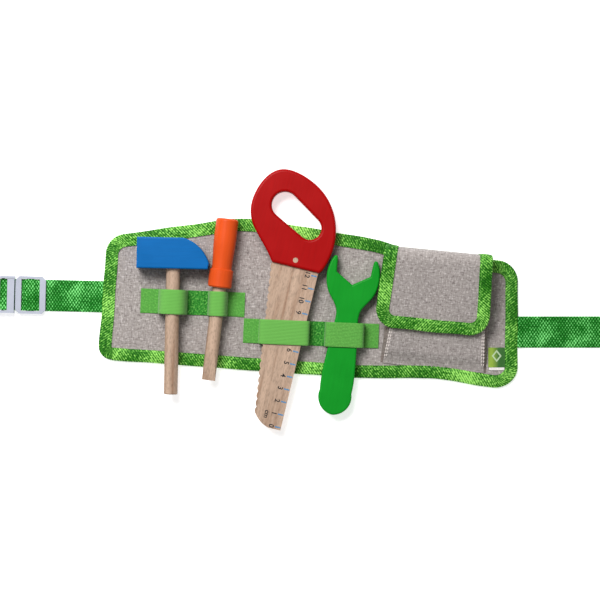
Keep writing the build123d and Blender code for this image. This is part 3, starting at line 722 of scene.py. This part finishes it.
def finish(name):
    """A finish by its plain name, made the first time that it is asked for."""
    pitch = sizes("thread_pitch")
    makers = {
        "canvas": lambda: canvas_finish(
            "Linen and cotton canvas, heathered", tint("canvas"), tint("canvas_dark"),
            tint("canvas_light"), pitch),
        # the same canvas darkened, as painted shade for the pocket's folded sides
        "canvas in painted shade": lambda: canvas_finish(
            "Linen and cotton canvas, wrong side out", linear("#7d716b"), linear("#5a4f4a"),
            linear("#948882"), pitch),
        "lining": lambda: canvas_finish(
            "Cotton lining, plain weave", tint("lining"), tint("canvas"), linear("#ddd6d0"),
            pitch * 0.7),
        "binding": binding_finish,
        "webbing": webbing_finish,
        "elastic": elastic_finish,
        "plastic": plastic_finish,
        "label": label_finish,
        # matt and bright, with no edge to be seen
        "opal table": lambda: speckled_finish(
            "Opal acrylic table, lit from below", tuple(bpy.context.scene.belt_stage.floor),
            linear("#f2f2f2"), 3.0, 0.02, Roughness=0.9, Specular_IOR_Level=0.1,
            Emission_Color=(1.0, 1.0, 1.0, 1.0), Emission_Strength=0.6),
    }
    if name not in FINISHES and name in SPECKLED:
        material, first, second, size, depth, shader = SPECKLED[name]
        FINISHES[name] = speckled_finish(
            material, linear(first), linear(second), size, depth, **shader)
    elif name not in FINISHES:
        FINISHES[name] = makers[name]()
    return FINISHES[name]


# ---- tapes ------------------------------------------------------------------
def folded_tape(width, gap, tape, crown):
    """A binding's section as (inward distance, height) with its outward normals.

    From the front leg's inner edge out to the turn, a half circle round the cloth's edge,
    and back along the back leg. The front leg is crowned by crown x sin(pi x share).
    """
    radius = (gap + tape) / 2
    share = np.linspace(0, 1, 13)[:-1]
    front = np.stack([
        width - share * (width - radius), radius + crown * np.sin(np.pi * share)], axis=1)
    angle = np.linspace(np.pi / 2, -np.pi / 2, 9)
    turn = np.stack([radius - radius * np.cos(angle), radius * np.sin(angle)], axis=1)
    back = np.stack([
        radius + share[1:] * (width - radius), np.full(len(share) - 1, -radius)], axis=1)
    line = np.concatenate([front, turn, back])
    ahead = np.gradient(line, axis=0)
    normal = np.stack([ahead[:, 1], -ahead[:, 0]], axis=1)
    normal /= np.linalg.norm(normal, axis=1, keepdims=True)
    far = np.concatenate([[0.0], np.cumsum(np.linalg.norm(np.diff(line, axis=0), axis=1))])
    return line, normal, far


def bound_edge(name, run, inward, along, middle, place, gap, seed, closed):
    """Binding tape folded round an edge.

    The section is carried along the edge: point + distance x inward, at middle + height. The
    ribs lift the outer face by rib height x (0.5 - 0.5 cos(2 pi (u + 0.8 v) / pitch)),
    and slow waves move the tape in and out as sewing does.
    """
    section, normal, across = folded_tape(BINDING_WIDTH, gap, BINDING_TAPE, 0.28)
    u = along[:len(run), None]
    stray = ripple(u, 0 * u, sizes("sewing_wave"), 24.0, seed)
    rib = 0.5 - 0.5 * np.cos(
        2 * np.pi * (u + RIB_SLANT * across) / sizes("rib_pitch"))
    pucker = 0.5 + 0.5 * np.cos(2 * np.pi * u / sizes("stitch_pitch"))
    near_seam = np.exp(-((across - 1.2) / 0.9) ** 2)
    lift = sizes("rib_height") * rib - 0.22 * near_seam * (1 - pucker)
    faces = []
    for out in (BINDING_TAPE / 2 + lift, -BINDING_TAPE / 2 + 0 * lift):
        deep = section[:, 0] + normal[:, 0] * out + stray * np.exp(-section[:, 0] / 14.0)
        high = middle + section[:, 1] + normal[:, 1] * out
        flat = run[:, None] + deep[..., None] * inward[:, None]
        faces.append(place(flat[..., 0], flat[..., 1], high))
    spread = pairs(along[:, None], across[None])
    if not closed:
        spread = spread[:len(run)]
    return skin(name, faces[0], faces[1], spread, closed=closed)


def ribbon(name, line, width, tape, place, relief, step=0.4, columns=48):
    """A flat tape whose middle follows a line of (along, height), as wide as width.

    Each face lies half the tape's thickness from the line along the line's normal, plus
    relief(u, v) on its outer side. The edges thin to a round selvedge.
    """
    run, ahead, along = even_run(line, step)
    normal = np.stack([-ahead[:, 1], ahead[:, 0]], axis=1)
    v = np.linspace(-width / 2, width / 2, columns)
    thin = np.sqrt(np.clip(1 - (np.abs(v) / (width / 2)) ** 24, 0.06, 1))
    raised = relief(along[:, None], v[None])
    faces = []
    for side in (1, -1):
        out = side * (tape / 2 * thin + raised)
        at = run[:, None] + normal[:, None] * out[..., None]
        faces.append(place(at[..., 0], v[None] + 0 * at[..., 0], at[..., 1]))
    spread = pairs(along[:, None], v[None])
    return skin(name, faces[0], faces[1], spread), along, run


def stitches(name, starts, ends, lift, finish_name, body, bends=None, thick=0.32):
    """Rows of sewing thread: each stitch is a six-sided lozenge from its start to its end.

    Its rings lie at 0, 0.3, 0.7 and 1 of its length, and its middle is raised by lift.
    """
    share = np.array([0.0, 0.3, 0.7, 1.0])
    girth = np.array([0.35, 1.0, 1.0, 0.35]) * thick
    rise = np.array([0.0, 1.0, 1.0, 0.0]) * lift
    angle = np.arange(6) * np.pi / 3
    way = ends - starts
    side = np.stack([-way[:, 1], way[:, 0], np.zeros(len(way))], axis=1)
    side /= np.maximum(np.linalg.norm(side, axis=1, keepdims=True), 1e-6)
    up = np.array((0.0, 0.0, 1.0))
    centre = starts[:, None] + share[:, None] * way[:, None] + rise[:, None] * up
    round_it = (np.cos(angle)[:, None] * side[:, None, None]
                + np.sin(angle)[:, None] * up) * girth[:, None, None]
    points = (centre[:, :, None] + round_it).reshape(-1, 3)
    i, j = np.meshgrid(np.arange(3), np.arange(6), indexing="ij")
    after = (j + 1) % 6
    tile = np.stack([i * 6 + j, (i + 1) * 6 + j, (i + 1) * 6 + after, i * 6 + after], -1)
    caps = np.array([(0, 1, 2, 3), (3, 4, 5, 0), (21, 20, 19, 18), (18, 23, 22, 21)])
    tile = np.concatenate([tile.reshape(-1, 4), caps])
    faces = (np.arange(len(starts))[:, None, None] * 24 + tile).reshape(-1, 4)
    mesh = solid_mesh(name, points * MM, faces)
    return piece(name, mesh, finish(finish_name), body, bends=bends)


def slab(name, outline, centre, rings, top, bottom, place):
    """A thin plate under one surface and over another.

    Each point is centre + share x (outline - centre), with share from 0 to 1, crowded to the
    edge by share = 1 - (1 - t)^1.3; top and bottom give the height there.
    """
    share = 1 - (1 - np.linspace(0, 1, rings)) ** 1.3
    flat = centre + share[None, :, None] * (outline[:, None] - centre)
    x, y = flat[..., 0], flat[..., 1]
    return skin(name, place(x, y, top(x, y)), place(x, y, bottom(x, y)), flat,
                closed=True, pole=True)


def joined(name, meshes):
    """One mesh from several, with their maps kept."""
    work = bmesh.new()
    for mesh in meshes:
        work.from_mesh(mesh)
    whole = bpy.data.meshes.new(name)
    work.to_mesh(whole)
    work.free()
    whole.shade_smooth()
    whole.set_sharp_from_angle(angle=math.radians(55))
    return whole


def box_outline(low, high, corner):
    """A rounded rectangle, clockwise from its lower left corner, at even steps."""
    corners = np.array([(low[0], low[1]), (low[0], high[1]), (high[0], high[1]),
                        (high[0], low[1])])
    step = min(high[0] - low[0], high[1] - low[1]) / 24
    return rounded_outline(corners, [corner] * 4, step)[0]


# ---- where things lie -------------------------------------------------------
GROUND = lean_frame((0.0, 0.0), 0.0)
FOLD = lean_frame(FOLD_CENTRE, FOLD_LEAN)
SAW = lean_frame(SAW_FOOT, SAW_LEAN)
STRAPS = {
    "left_strap": (lean_frame((-161.68, 4.9), -178.6), LEFT_STRAP_LENGTH),
    "right_strap": (lean_frame((164.6, -22.6), 0.0), RIGHT_STRAP_LENGTH),
}


def world(place, *point):
    """One point of a flat frame, in metres."""
    return tuple(place(*(np.array(float(c)) for c in point)) * MM)


def strap_bend(strap):
    """The two points between which a strap turns with its joint."""
    place = STRAPS[strap][0]
    return ("panel", strap, world(place, -STRAP_BEND, 0, 0.7),
            world(place, STRAP_BEND, 0, 0.7))


def flap_bend():
    """The two points between which the flap turns with its joint."""
    return ("panel", "flap", *(world(FOLD, 0, *place) for place in FLAP_BEND))


def pocket_level(v):
    """The pocket front's height: level with the flap above, running down into its hem."""
    level = MOUTH_DEPTH - (MOUTH - v) * (MOUTH_DEPTH - FOOT_DEPTH) / (MOUTH - POCKET_FOOT)
    return HEM_LEVEL + (level - HEM_LEVEL) * smooth_step((v - HEM_FOOT) / 12.0)


def tape_strip(top, bottom):
    """A strip of hook or loop tape on the pocket's slope, between two heights."""
    outline = box_outline(PATCH_MIDDLE - PATCH_HALF, PATCH_MIDDLE + PATCH_HALF, 2.0)
    return slab("strip", outline, PATCH_MIDDLE, 26, top, bottom, FOLD)


def pocket_sides(v):
    """The pocket's half widths at v: base left, front left, front right, base right."""
    up = (v - POCKET_FOOT) / (MOUTH - POCKET_FOOT)
    return -35 + up, -33.6 + 7.6 * up, 45.8 - 7.3 * up, 47.2 - 6.2 * up


def flap_surface():
    """The flap's middle surface: place(u, s, h) with s run along its bent line.

    The line rises from the pocket's back edge, turns over the fold's round and falls to the
    flap's end; a point is line(s) + h x normal(s).
    """
    fall = (MOUTH_DEPTH - FOOT_DEPTH) / (MOUTH - POCKET_FOOT)
    turn = math.pi / 2 + math.atan(fall)
    start = FOLD_TOP - FOLD_RADIUS * math.tan(turn / 2)
    angle = np.linspace(0, turn, 40)
    bend = np.stack([
        -0.8 - FOLD_RADIUS * (1 - np.cos(angle)), start + FOLD_RADIUS * np.sin(angle)], axis=1)
    end = np.array((-FLAP_DROP - 8.0, FOLD_TOP - (FLAP_DROP + 8.0) * fall))
    line = np.concatenate([[(-0.3, 2.6), (-0.8, 6.0)], bend, [end]])
    run, ahead, along = even_run(line, 0.5)
    normal = np.stack([ahead[:, 1], -ahead[:, 0]], axis=1)

    def place(u, s, h):
        v, z = (np.interp(s, along, run[:, k]) + h * np.interp(s, along, normal[:, k])
                for k in (0, 1))
        return FOLD(u + FLAP_SHIFT, v, z)

    return place, float(np.interp(FLAP_DROP, -run[:, 0], along))


# ---- the pieces, one operator each ------------------------------------------
class BELT_OT_panel(Operator):
    """Cut the canvas front and its lining, with a gentle wave in each"""

    bl_idname = "belt.panel"
    bl_label = "Panel"
    bl_options = {"REGISTER", "UNDO"}

    def execute(self, context):
        outline, _, _ = rounded_outline(PANEL_CORNERS, PANEL_ROUNDS, 2.4)
        outline = PANEL_MIDDLE + (outline - PANEL_MIDDLE) * CLOTH_SHARE
        area = polygon_area(outline)
        wave = sizes("canvas_wave")

        def front(x, y):
            ease = smooth_step((inside_panel(x, y) - 9.0) / 12.0)
            return CANVAS_TOP - 0.25 + ease * (0.25 + ripple(x, y, wave, 46.0, 3))

        def back(x, y):
            ease = smooth_step((inside_panel(x, y) - 8.0) / 6.0)
            return 0.75 - ease * (0.6 - ripple(x, y, 0.12, 50.0, 4))

        def inner(x, y):
            return PLY_LEVEL + 0 * x

        def outer(x, y):
            return PLY_LEVEL - 0.02 + 0 * x

        canvas = slab("canvas", outline, PANEL_MIDDLE, 52, front, inner, GROUND)
        lining = slab("lining", outline, PANEL_MIDDLE, 36, outer, back, GROUND)
        canvas = piece("canvas", canvas, finish("canvas"), "panel",
                       stands_for=["panel_front"])
        lining = piece("lining", lining, finish("lining"), "panel",
                       stands_for=["panel_lining"])
        size = np.ptp(outline, axis=0) * MM
        return {"FINISHED"}


class BELT_OT_binding(Operator):
    """Fold the binding tape round the panel's edge and sew it down"""

    bl_idname = "belt.binding"
    bl_label = "Panel binding"
    bl_options = {"REGISTER", "UNDO"}

    def execute(self, context):
        run, inward, along = rounded_outline(PANEL_CORNERS, PANEL_ROUNDS, 0.55)
        run = run + inward * 0.3
        tape = bound_edge("binding", run, inward, along, BINDING_TOP / 2, GROUND, 1.7, 11, True)
        piece("binding", tape, finish("binding"), "panel",
              stands_for=["panel_binding"])
        sew_line("binding_stitches", run, inward, along, BINDING_TOP - 0.05, GROUND, "panel")
        return {"FINISHED"}


def sew_line(name, run, inward, along, height, place, body, bends=None):
    """A row of stitches, SEAM_INSET in from a binding's inner edge."""
    pitch = sizes("stitch_pitch")
    count = int(along[-1] / pitch) - 1
    deep = BINDING_WIDTH - SEAM_INSET
    ends = []
    for share in (0.14, 0.86):
        at = (np.arange(count) + share) * pitch
        point = [np.interp(at, along[:len(run)], (run + deep * inward)[:, k]) for k in (0, 1)]
        ends.append(place(point[0], point[1], np.full(count, height)))
    stitches(name, ends[0], ends[1], 0.12, "thread", body, bends)


def polygon_area(outline):
    """The shoelace area of an outline in mm, as square metres."""
    x, y = outline[:, 0], outline[:, 1]
    return abs((x * np.roll(y, -1) - y * np.roll(x, -1)).sum()) / 2 * MM * MM


class BELT_OT_bands(Operator):
    """Sew the two elastic bands across the panel, with a loop for each tool"""

    bl_idname = "belt.bands"
    bl_label = "Elastic bands"
    bl_options = {"REGISTER", "UNDO"}

    def execute(self, context):
        for name, (start, reach), loops in (
            ("left", LEFT_BAND, LEFT_LOOPS), ("right", RIGHT_BAND, RIGHT_LOOPS)
        ):
            flat = CANVAS_TOP + BAND_TAPE / 2 + 0.05
            parts = [[(0.0, flat)]]
            for first, last, rise, square in loops:
                angle = np.linspace(np.pi, 0, 90)
                half = (last - first) / 2 + 0.7
                u = np.sign(np.cos(angle)) * np.abs(np.cos(angle)) ** (2 / square)
                z = np.abs(np.sin(angle)) ** (2 / square)
                parts.append(np.stack([(first + last) / 2 + half * u, flat + rise * z], axis=1))
            parts.append([(reach, flat)])
            line, _, _ = even_run(np.concatenate(parts), 0.35)
            line = eased(line, 3)

            def relief(u, v):
                rib = 0.5 - 0.5 * np.cos(2 * np.pi * v / sizes("elastic_pitch"))
                return 0.06 * rib + 0 * u

            mesh, along, run = ribbon(
                name, line, BAND_WIDTH, BAND_TAPE, lean_frame(start, BAND_LEAN), relief,
                step=0.35, columns=60)
            # flat stretches are darker where stitched down; those between the loops are darker
            # still, partly as painted shade between the raised loops
            low = smooth_step((flat + 1.6 - run[:, 1]) / 1.2)
            between = smooth_step((run[:, 0] - loops[0][1] + 2) / 2) * smooth_step(
                (loops[1][0] + 2 - run[:, 0]) / 2)
            # from 62 mm on, the right band's wrench loop and end are darkened as painted shadow of
            # the flap and pocket
            shaded = 0.3 * smooth_step((run[:, 0] - 62.0) / 2.0) * (name == "right")
            sewn = np.repeat(np.maximum(low * (0.4 + 0.55 * between), shaded), 120)
            mesh.attributes.new("sewn", "FLOAT", "POINT").data.foreach_set(
                "value", sewn.astype(np.float32))
            piece(f"band_{name}", mesh, finish("elastic"), "panel",
                  stands_for=[f"tool_band_{name}"])
        return {"FINISHED"}


class BELT_OT_straps(Operator):
    """Thread the webbing straps from the panel's ends round their buckle bars"""

    bl_idname = "belt.straps"
    bl_label = "Webbing straps"
    bl_options = {"REGISTER", "UNDO"}

    def execute(self, context):
        for strap, (place, reach) in STRAPS.items():
            angle = np.linspace(-np.pi / 2, np.pi / 2, 40)
            bar = np.stack([
                reach + LOOP_RADIUS * np.cos(angle),
                BAR_LEVEL + LOOP_RADIUS * np.sin(angle)], axis=1)
            line = np.concatenate([
                [(-STRAP_ROOT, 1.5), (-0.5, 1.45), (3.5, 0.75)], bar,
                [(reach - STRAP_TAIL, BAR_LEVEL + LOOP_RADIUS)]])
            line, _, _ = even_run(line, 0.3)
            mesh = webbing(strap, eased(line, 4), WEBBING_TAPE, place)
            piece(strap + "_webbing", mesh, finish("webbing"),
                  stands_for=[strap], bends=strap_bend(strap))
        return {"FINISHED"}


def webbing(name, line, tape, place):
    """Webbing along a line, with yarn floats cos(2 pi u / a) x cos(2 pi v / b) on both faces."""
    def relief(u, v):
        knots = np.cos(2 * np.pi * u / sizes("knot_along")) * np.cos(
            2 * np.pi * v / sizes("knot_across"))
        return sizes("knot_height") * knots

    return ribbon(name, line, WEBBING_WIDTH, tape, place, relief, step=0.32, columns=64)[0]


class BELT_OT_tuck(Operator):
    """Lay the webbing's tucked end over the slider's middle bar"""

    bl_idname = "belt.tuck"
    bl_label = "Tucked end"
    bl_options = {"REGISTER", "UNDO"}

    def execute(self, context):
        s = SLIDER_MIDDLE + np.array([-10.6, -5.6, -3.2, 3.2, 5.6, 10.6])
        z = np.array([2.35, 2.35, 3.95, 3.95, 2.35, 2.35])
        line, _, _ = even_run(np.stack([s, z], axis=1), 0.3)
        mesh = webbing("tuck", eased(line, 8), 1.0, STRAPS["left_strap"][0])
        piece("tuck_webbing", mesh, finish("webbing"), "slider",
              stands_for=["strap_tuck"])
        return {"FINISHED"}


class BELT_OT_pocket(Operator):
    """Sew on the pocket's front, its folded sides and its strip of loop tape"""

    bl_idname = "belt.pocket"
    bl_label = "Pocket"
    bl_options = {"REGISTER", "UNDO"}

    def execute(self, context):
        self.front()
        self.sides()
        pile = tape_strip(
            lambda x, y: pocket_level(y) + 1.1 + ripple(x, y, 0.12, 1.6, 8),
            lambda x, y: pocket_level(y) - 0.1)
        piece("loop_tape", pile, finish("loop tape"), "panel",
              stands_for=["pocket_loop_patch"])
        return {"FINISHED"}

    def front(self):
        """A front leaning in to its foot, with a soft slanting crease and a turned top hem."""
        v = np.linspace(HEM_FOOT, MOUTH, 150)[:, None]
        _, left, right, _ = pocket_sides(v)
        share = np.linspace(0, 1, 110)[None]
        u = left + share * (right - left)
        z = pocket_level(v) + 0 * u
        away = (u + 26.0) * 0.82 + (v + 62.0) * 0.57
        slack = smooth_step((v - HEM_FOOT) / 16) * smooth_step((MOUTH + 0.5 - v) / 8)
        z = z + slack * (
            0.5 * np.exp(-(away / 7.0) ** 2) - 0.35 * np.exp(-((away - 12) / 8.0) ** 2)
            + ripple(u, v, 0.2, 38.0, 5))
        edge = np.minimum(share, 1 - share) * (right - left)
        z = z - 0.8 * np.exp(-edge / 1.2)
        hem = 0.12 * np.exp(-((v - MOUTH + 8) / 0.5) ** 2)
        flat = pairs(u, v)
        mesh = skin("pocket", FOLD(u, v, z - hem), FOLD(u, v, z - 1.1), flat)
        front = piece("pocket", mesh, finish("canvas"), "panel",
                      stands_for=["pocket_front"])
        starts, ends = [], []
        for inset in (0.9, 2.3):
            for side in (1, 2):
                at = np.arange(-86.0, MOUTH - 3, 2.6)
                for row, share in ((starts, 0.0), (ends, 2.0)):
                    line = at + share
                    edge = pocket_sides(line)[side] + (inset if side == 1 else -inset)
                    row.append(FOLD(edge, line, pocket_level(line) + 0.02))
        stitches("pocket_stitches", np.concatenate(starts), np.concatenate(ends), 0.2,
                 "pale thread", "panel", thick=0.42)

    def sides(self):
        """Side walls from the panel up to the front, folded twice lengthwise.

        Across the wall, u leans from base to front and strays by 0.9 sin(2 pi t).
        """
        walls = []
        for base, front, out in ((0, 1, -1), (3, 2, 1)):
            v = np.linspace(-90.5, MOUTH, 120)[:, None]
            t = np.linspace(0, 1, 30)[None]
            edges = pocket_sides(v)
            foot, head = edges[base], edges[front]
            top = pocket_level(v) - 0.5
            fold = 0.9 * np.sin(2 * np.pi * t) * smooth_step((top - 5) / 8)
            u = foot + (head - foot) * t + out * fold
            z = 2.2 + (top - 2.2) * t
            flat = pairs(z, v)
            walls.append(skin("side", FOLD(u, v, z), FOLD(u - out * 1.0, v, z), flat))
        # the side walls take the darkened canvas, as painted shade in the folds
        wall = piece("pocket_sides", joined("sides", walls), finish("canvas in painted shade"),
                     "panel", stands_for=["pocket_gusset"])


class BELT_OT_flap(Operator):
    """Fold the flap over the pocket, bind three of its edges and sew on its hook tape"""

    bl_idname = "belt.flap"
    bl_label = "Flap"
    bl_options = {"REGISTER", "UNDO"}

    def execute(self, context):
        place, reach = flap_surface()
        s = np.linspace(0.0, reach - 1.0, 170)[:, None]
        to_end = reach - s
        half = FLAP_HALF_TOP + (FLAP_HALF_BOTTOM - FLAP_HALF_TOP) * s / reach
        short = np.clip(FLAP_CORNER - to_end, 0, FLAP_CORNER)
        half = half - 1.0 - (FLAP_CORNER - np.sqrt(FLAP_CORNER ** 2 - short ** 2))
        u = half * np.linspace(-1, 1, 110)[None]
        lift = ripple(u, s, 0.28, 42.0, 21) * smooth_step((s - 26) / 12) * smooth_step(
            (to_end - 8) / 8)
        flat = pairs(u, -s)
        mesh = skin("flap", place(u, s, 0.55 + lift), place(u, s, -0.55 + lift), flat)
        cloth = piece("flap", mesh, finish("canvas"), stands_for=["flap_canvas"],
                      bends=flap_bend())
        self.bound(place, reach)
        hooks = tape_strip(
            lambda x, y: pocket_level(y) + 3.2,
            lambda x, y: pocket_level(y) + 1.6 + ripple(x, y, 0.05, 1.4, 9))
        piece("hook_tape", hooks, finish("hook tape"), "flap",
              stands_for=["flap_hook_patch"])
        return {"FINISHED"}

    def bound(self, place, reach):
        """Bind the two sides and the end, round the flap's corners."""
        edge = np.array([
            (-FLAP_HALF_TOP, 3.5), (-FLAP_HALF_BOTTOM, reach), (FLAP_HALF_BOTTOM, reach),
            (FLAP_HALF_TOP, 3.5)])
        rounds = [0.5, FLAP_CORNER, FLAP_CORNER, 0.5]
        run, inward, along = rounded_outline(edge, rounds, 0.5)
        near = run[:, 1] > 4.2
        first = int(np.argmax(near & ~np.roll(near, 1)))
        run, inward = np.roll(run, -first, axis=0), np.roll(inward, -first, axis=0)
        keep = np.roll(near, -first)
        run, inward, along = run[keep], inward[keep], along[:int(keep.sum())]
        mesh = bound_edge("flap_edge", run, inward, along, 0.0, place, 1.2, 12, False)
        piece("flap_edge", mesh, finish("binding"), stands_for=["flap_binding"],
              bends=flap_bend())
        sew_line("flap_stitches", run, inward, along, 1.3, place, None, flap_bend())


class BELT_OT_label(Operator):
    """Sew on the woven label with its plain diamond"""

    bl_idname = "belt.label"
    bl_label = "Woven label"
    bl_options = {"REGISTER", "UNDO"}

    def execute(self, context):
        low, high = node_box("woven_label")
        middle = (low + high)[:2] / 2
        place = lean_frame(middle, 0.0)
        half = (high - low)[:2] / 2
        mesh = slab("label", box_outline(-half, half, 0.4), np.zeros(2), 18,
                    lambda x, y: high[2] + 0.15 + ripple(x, y, 0.1, 9.0, 31),
                    lambda x, y: low[2] + 0 * x, place)
        piece("label", mesh, finish("label"), "panel", stands_for=["woven_label"])
        return {"FINISHED"}


class BELT_OT_ruler(Operator):
    """Print the ruler's marks and figures on the saw's blade"""

    bl_idname = "belt.ruler"
    bl_label = "Ruler"
    bl_options = {"REGISTER", "UNDO"}

    def execute(self, context):
        top = BLADE_TOP
        ticks = []
        for k in range(RULER_MARKS):
            s = RULER_ZERO + RULER_STEP * k
            far, near = (BLADE_EDGE - end for end in MARK_ENDS)
            outline = box_outline((far, s - MARK_HALF), (near, s + MARK_HALF), 0.3)
            ticks.append(slab("tick", outline, np.array((BLADE_EDGE - 2.8, s)), 3,
                              lambda x, y: top + INK + 0 * x,
                              lambda x, y: top - 0.05 + 0 * x, SAW))
        piece("ruler_marks", joined("marks", ticks), finish("blue ink"), "saw")
        words = [(str(k), BLADE_EDGE - FIGURES[0], RULER_ZERO + RULER_STEP * k, FIGURES[1])
                 for k in range(RULER_MARKS)]
        words.append(("cm", BLADE_EDGE - UNIT[0], RULER_ZERO + UNIT_ALONG, UNIT[1]))
        figures = [self.figure(*word) for word in words]
        piece("ruler_figures", joined("figures", figures), finish("black ink"), "saw")
        return {"FINISHED"}

    def figure(self, text, across, along, height):
        """Flat lettering whose top points to the ruler's edge."""
        curve = bpy.data.curves.new("lettering", "FONT")
        curve.body = text
        curve.size = height
        curve.extrude = INK
        curve.offset = 0.1
        curve.align_x, curve.align_y = "CENTER", "CENTER"
        holder = bpy.data.objects.new("lettering", curve)
        bpy.context.collection.objects.link(holder)
        bpy.context.view_layer.update()
        mesh = bpy.data.meshes.new_from_object(
            holder.evaluated_get(bpy.context.evaluated_depsgraph_get()))
        points = np.empty(len(mesh.vertices) * 3, np.float32)
        mesh.vertices.foreach_get("co", points)
        x, y, z = points.reshape(-1, 3).T.astype(float)
        moved = SAW(across + y, along - x, BLADE_TOP + z) * MM
        mesh.vertices.foreach_set("co", moved.astype(np.float32).ravel())
        bpy.data.objects.remove(holder)
        bpy.data.curves.remove(curve)
        return mesh


class BELT_OT_finishes(Operator):
    """Paint, stain and mould the hard parts of the frame"""

    bl_idname = "belt.finishes"
    bl_label = "Hard parts"
    bl_options = {"REGISTER", "UNDO"}

    def execute(self, context):
        lean = TOOL_LEANS
        shades = {
            "hammer_head": paint_finish("Blue paint on beech", tint("blue"), 90.0),
            "hammer_handle": beech_finish("Beech dowel", lean["hammer"]),
            "screwdriver_grip": paint_finish(
                "Orange paint on beech", tint("orange"), lean["screwdriver"]),
            "screwdriver_shaft": beech_finish("Beech shaft", lean["screwdriver"]),
            "saw_handle": paint_finish("Red paint on beech", tint("red"), lean["saw"]),
            "saw_blade": beech_finish("Beech blade, sawn and sanded", lean["saw"]),
            "saw_pin": beech_finish("Beech pin, end grain", 0.0),
            "wrench": paint_finish("Green paint on beech", tint("green"), lean["wrench"]),
            "care_label": finish("care tape"),
        }
        for node in ("strap_slider", "buckle_plug", "buckle_prong_upper",
                     "buckle_prong_lower", "buckle_socket"):
            shades[node] = finish("plastic")
        for node, shade in shades.items():
            mesh = frame["nodes"][node].data
            mesh.materials.clear()
            mesh.materials.append(shade)
        return {"FINISHED"}


class BELT_OT_stage(Operator):
    """Set out the pale floor, the soft light and the camera"""

    bl_idname = "belt.stage"
    bl_label = "Stage"
    bl_options = {"REGISTER", "UNDO"}

    def execute(self, context):
        scene = bpy.context.scene
        stage = scene.belt_stage
        corners = np.array([(-1, -1, 0), (-1, 1, 0), (1, 1, 0), (1, -1, 0)]) * FLOOR_HALF
        mesh = solid_mesh("floor", corners + (0, 0, FLOOR_LEVEL), np.array([[3, 2, 1, 0]]))
        mesh.materials.append(finish("opal table"))
        self.stand("floor", mesh)

        sky = bpy.data.worlds.new("Studio")
        sky.use_nodes = True
        scene.world = sky
        even = sky.node_tree.nodes["Background"]
        even.inputs["Color"].default_value = (1.0, 1.0, 1.0, 1.0)
        even.inputs["Strength"].default_value = stage.sky

        lamp = bpy.data.lights.new("soft_box", "AREA")
        lamp.shape = "RECTANGLE"
        lamp.size, lamp.size_y = SOFT_BOX
        lamp.energy = stage.key
        box = self.stand("soft_box", lamp)
        box.location = SOFT_BOX_PLACE
        box.rotation_euler = (-box.location).to_track_quat("-Z", "Y").to_euler()

        lens = bpy.data.cameras.new("camera")
        lens.sensor_width = 36.0
        lens.lens = stage.lens
        away = stage.view_width * stage.lens / lens.sensor_width
        lens.clip_end = FAR_CLIP
        camera = self.stand("camera", lens)
        camera.location = (stage.view_centre_x, stage.view_centre_y, away)
        scene.camera = camera
        scene.view_settings.view_transform = "Standard"
        return {"FINISHED"}

    def stand(self, name, data):
        """Put a thing in the studio that isn't part of the belt."""
        made = bpy.data.objects.new(name, data)
        bpy.context.collection.objects.link(made)
        return made


class BELT_PT_tool_belt(Panel):
    """Lists the belt's sizes, colours and pieces"""

    bl_label = "Tool Belt"
    bl_idname = "BELT_PT_tool_belt"
    bl_space_type = "VIEW_3D"
    bl_region_type = "UI"
    bl_category = "Tool Belt"

    def draw(self, context):
        for group in (context.scene.belt_sizes, context.scene.belt_colours,
                      context.scene.belt_stage):
            column = self.layout.column(align=True)
            for name in group.__annotations__:
                column.prop(group, name)
        column = self.layout.column(align=True)
        for operator in OPERATORS:
            column.operator(operator.bl_idname)


GROUPS = {"belt_sizes": BeltSizes, "belt_colours": BeltColours, "belt_stage": BeltStage}
OPERATORS = [
    BELT_OT_panel, BELT_OT_binding, BELT_OT_bands, BELT_OT_straps, BELT_OT_tuck,
    BELT_OT_pocket, BELT_OT_flap, BELT_OT_label, BELT_OT_ruler, BELT_OT_finishes,
    BELT_OT_stage,
]


def register():
    """Register the groups, the operators and the panel."""
    for name, group in GROUPS.items():
        bpy.utils.register_class(group)
        setattr(bpy.types.Scene, name, PointerProperty(type=group))
    for kind in OPERATORS + [BELT_PT_tool_belt]:
        bpy.utils.register_class(kind)


def unregister():
    """Take everything out again."""
    for kind in reversed(OPERATORS + [BELT_PT_tool_belt]):
        bpy.utils.unregister_class(kind)
    for name, group in GROUPS.items():
        delattr(bpy.types.Scene, name)
        bpy.utils.unregister_class(group)


def main():
    """Register, and make every piece in order."""
    register()
    for operator in OPERATORS:
        area, action = operator.bl_idname.split(".")
        result = getattr(getattr(bpy.ops, area), action)()
        if result != {"FINISHED"}:
            raise RuntimeError(f"{operator.bl_idname} did not finish")


if __name__ == "__main__":
    main()
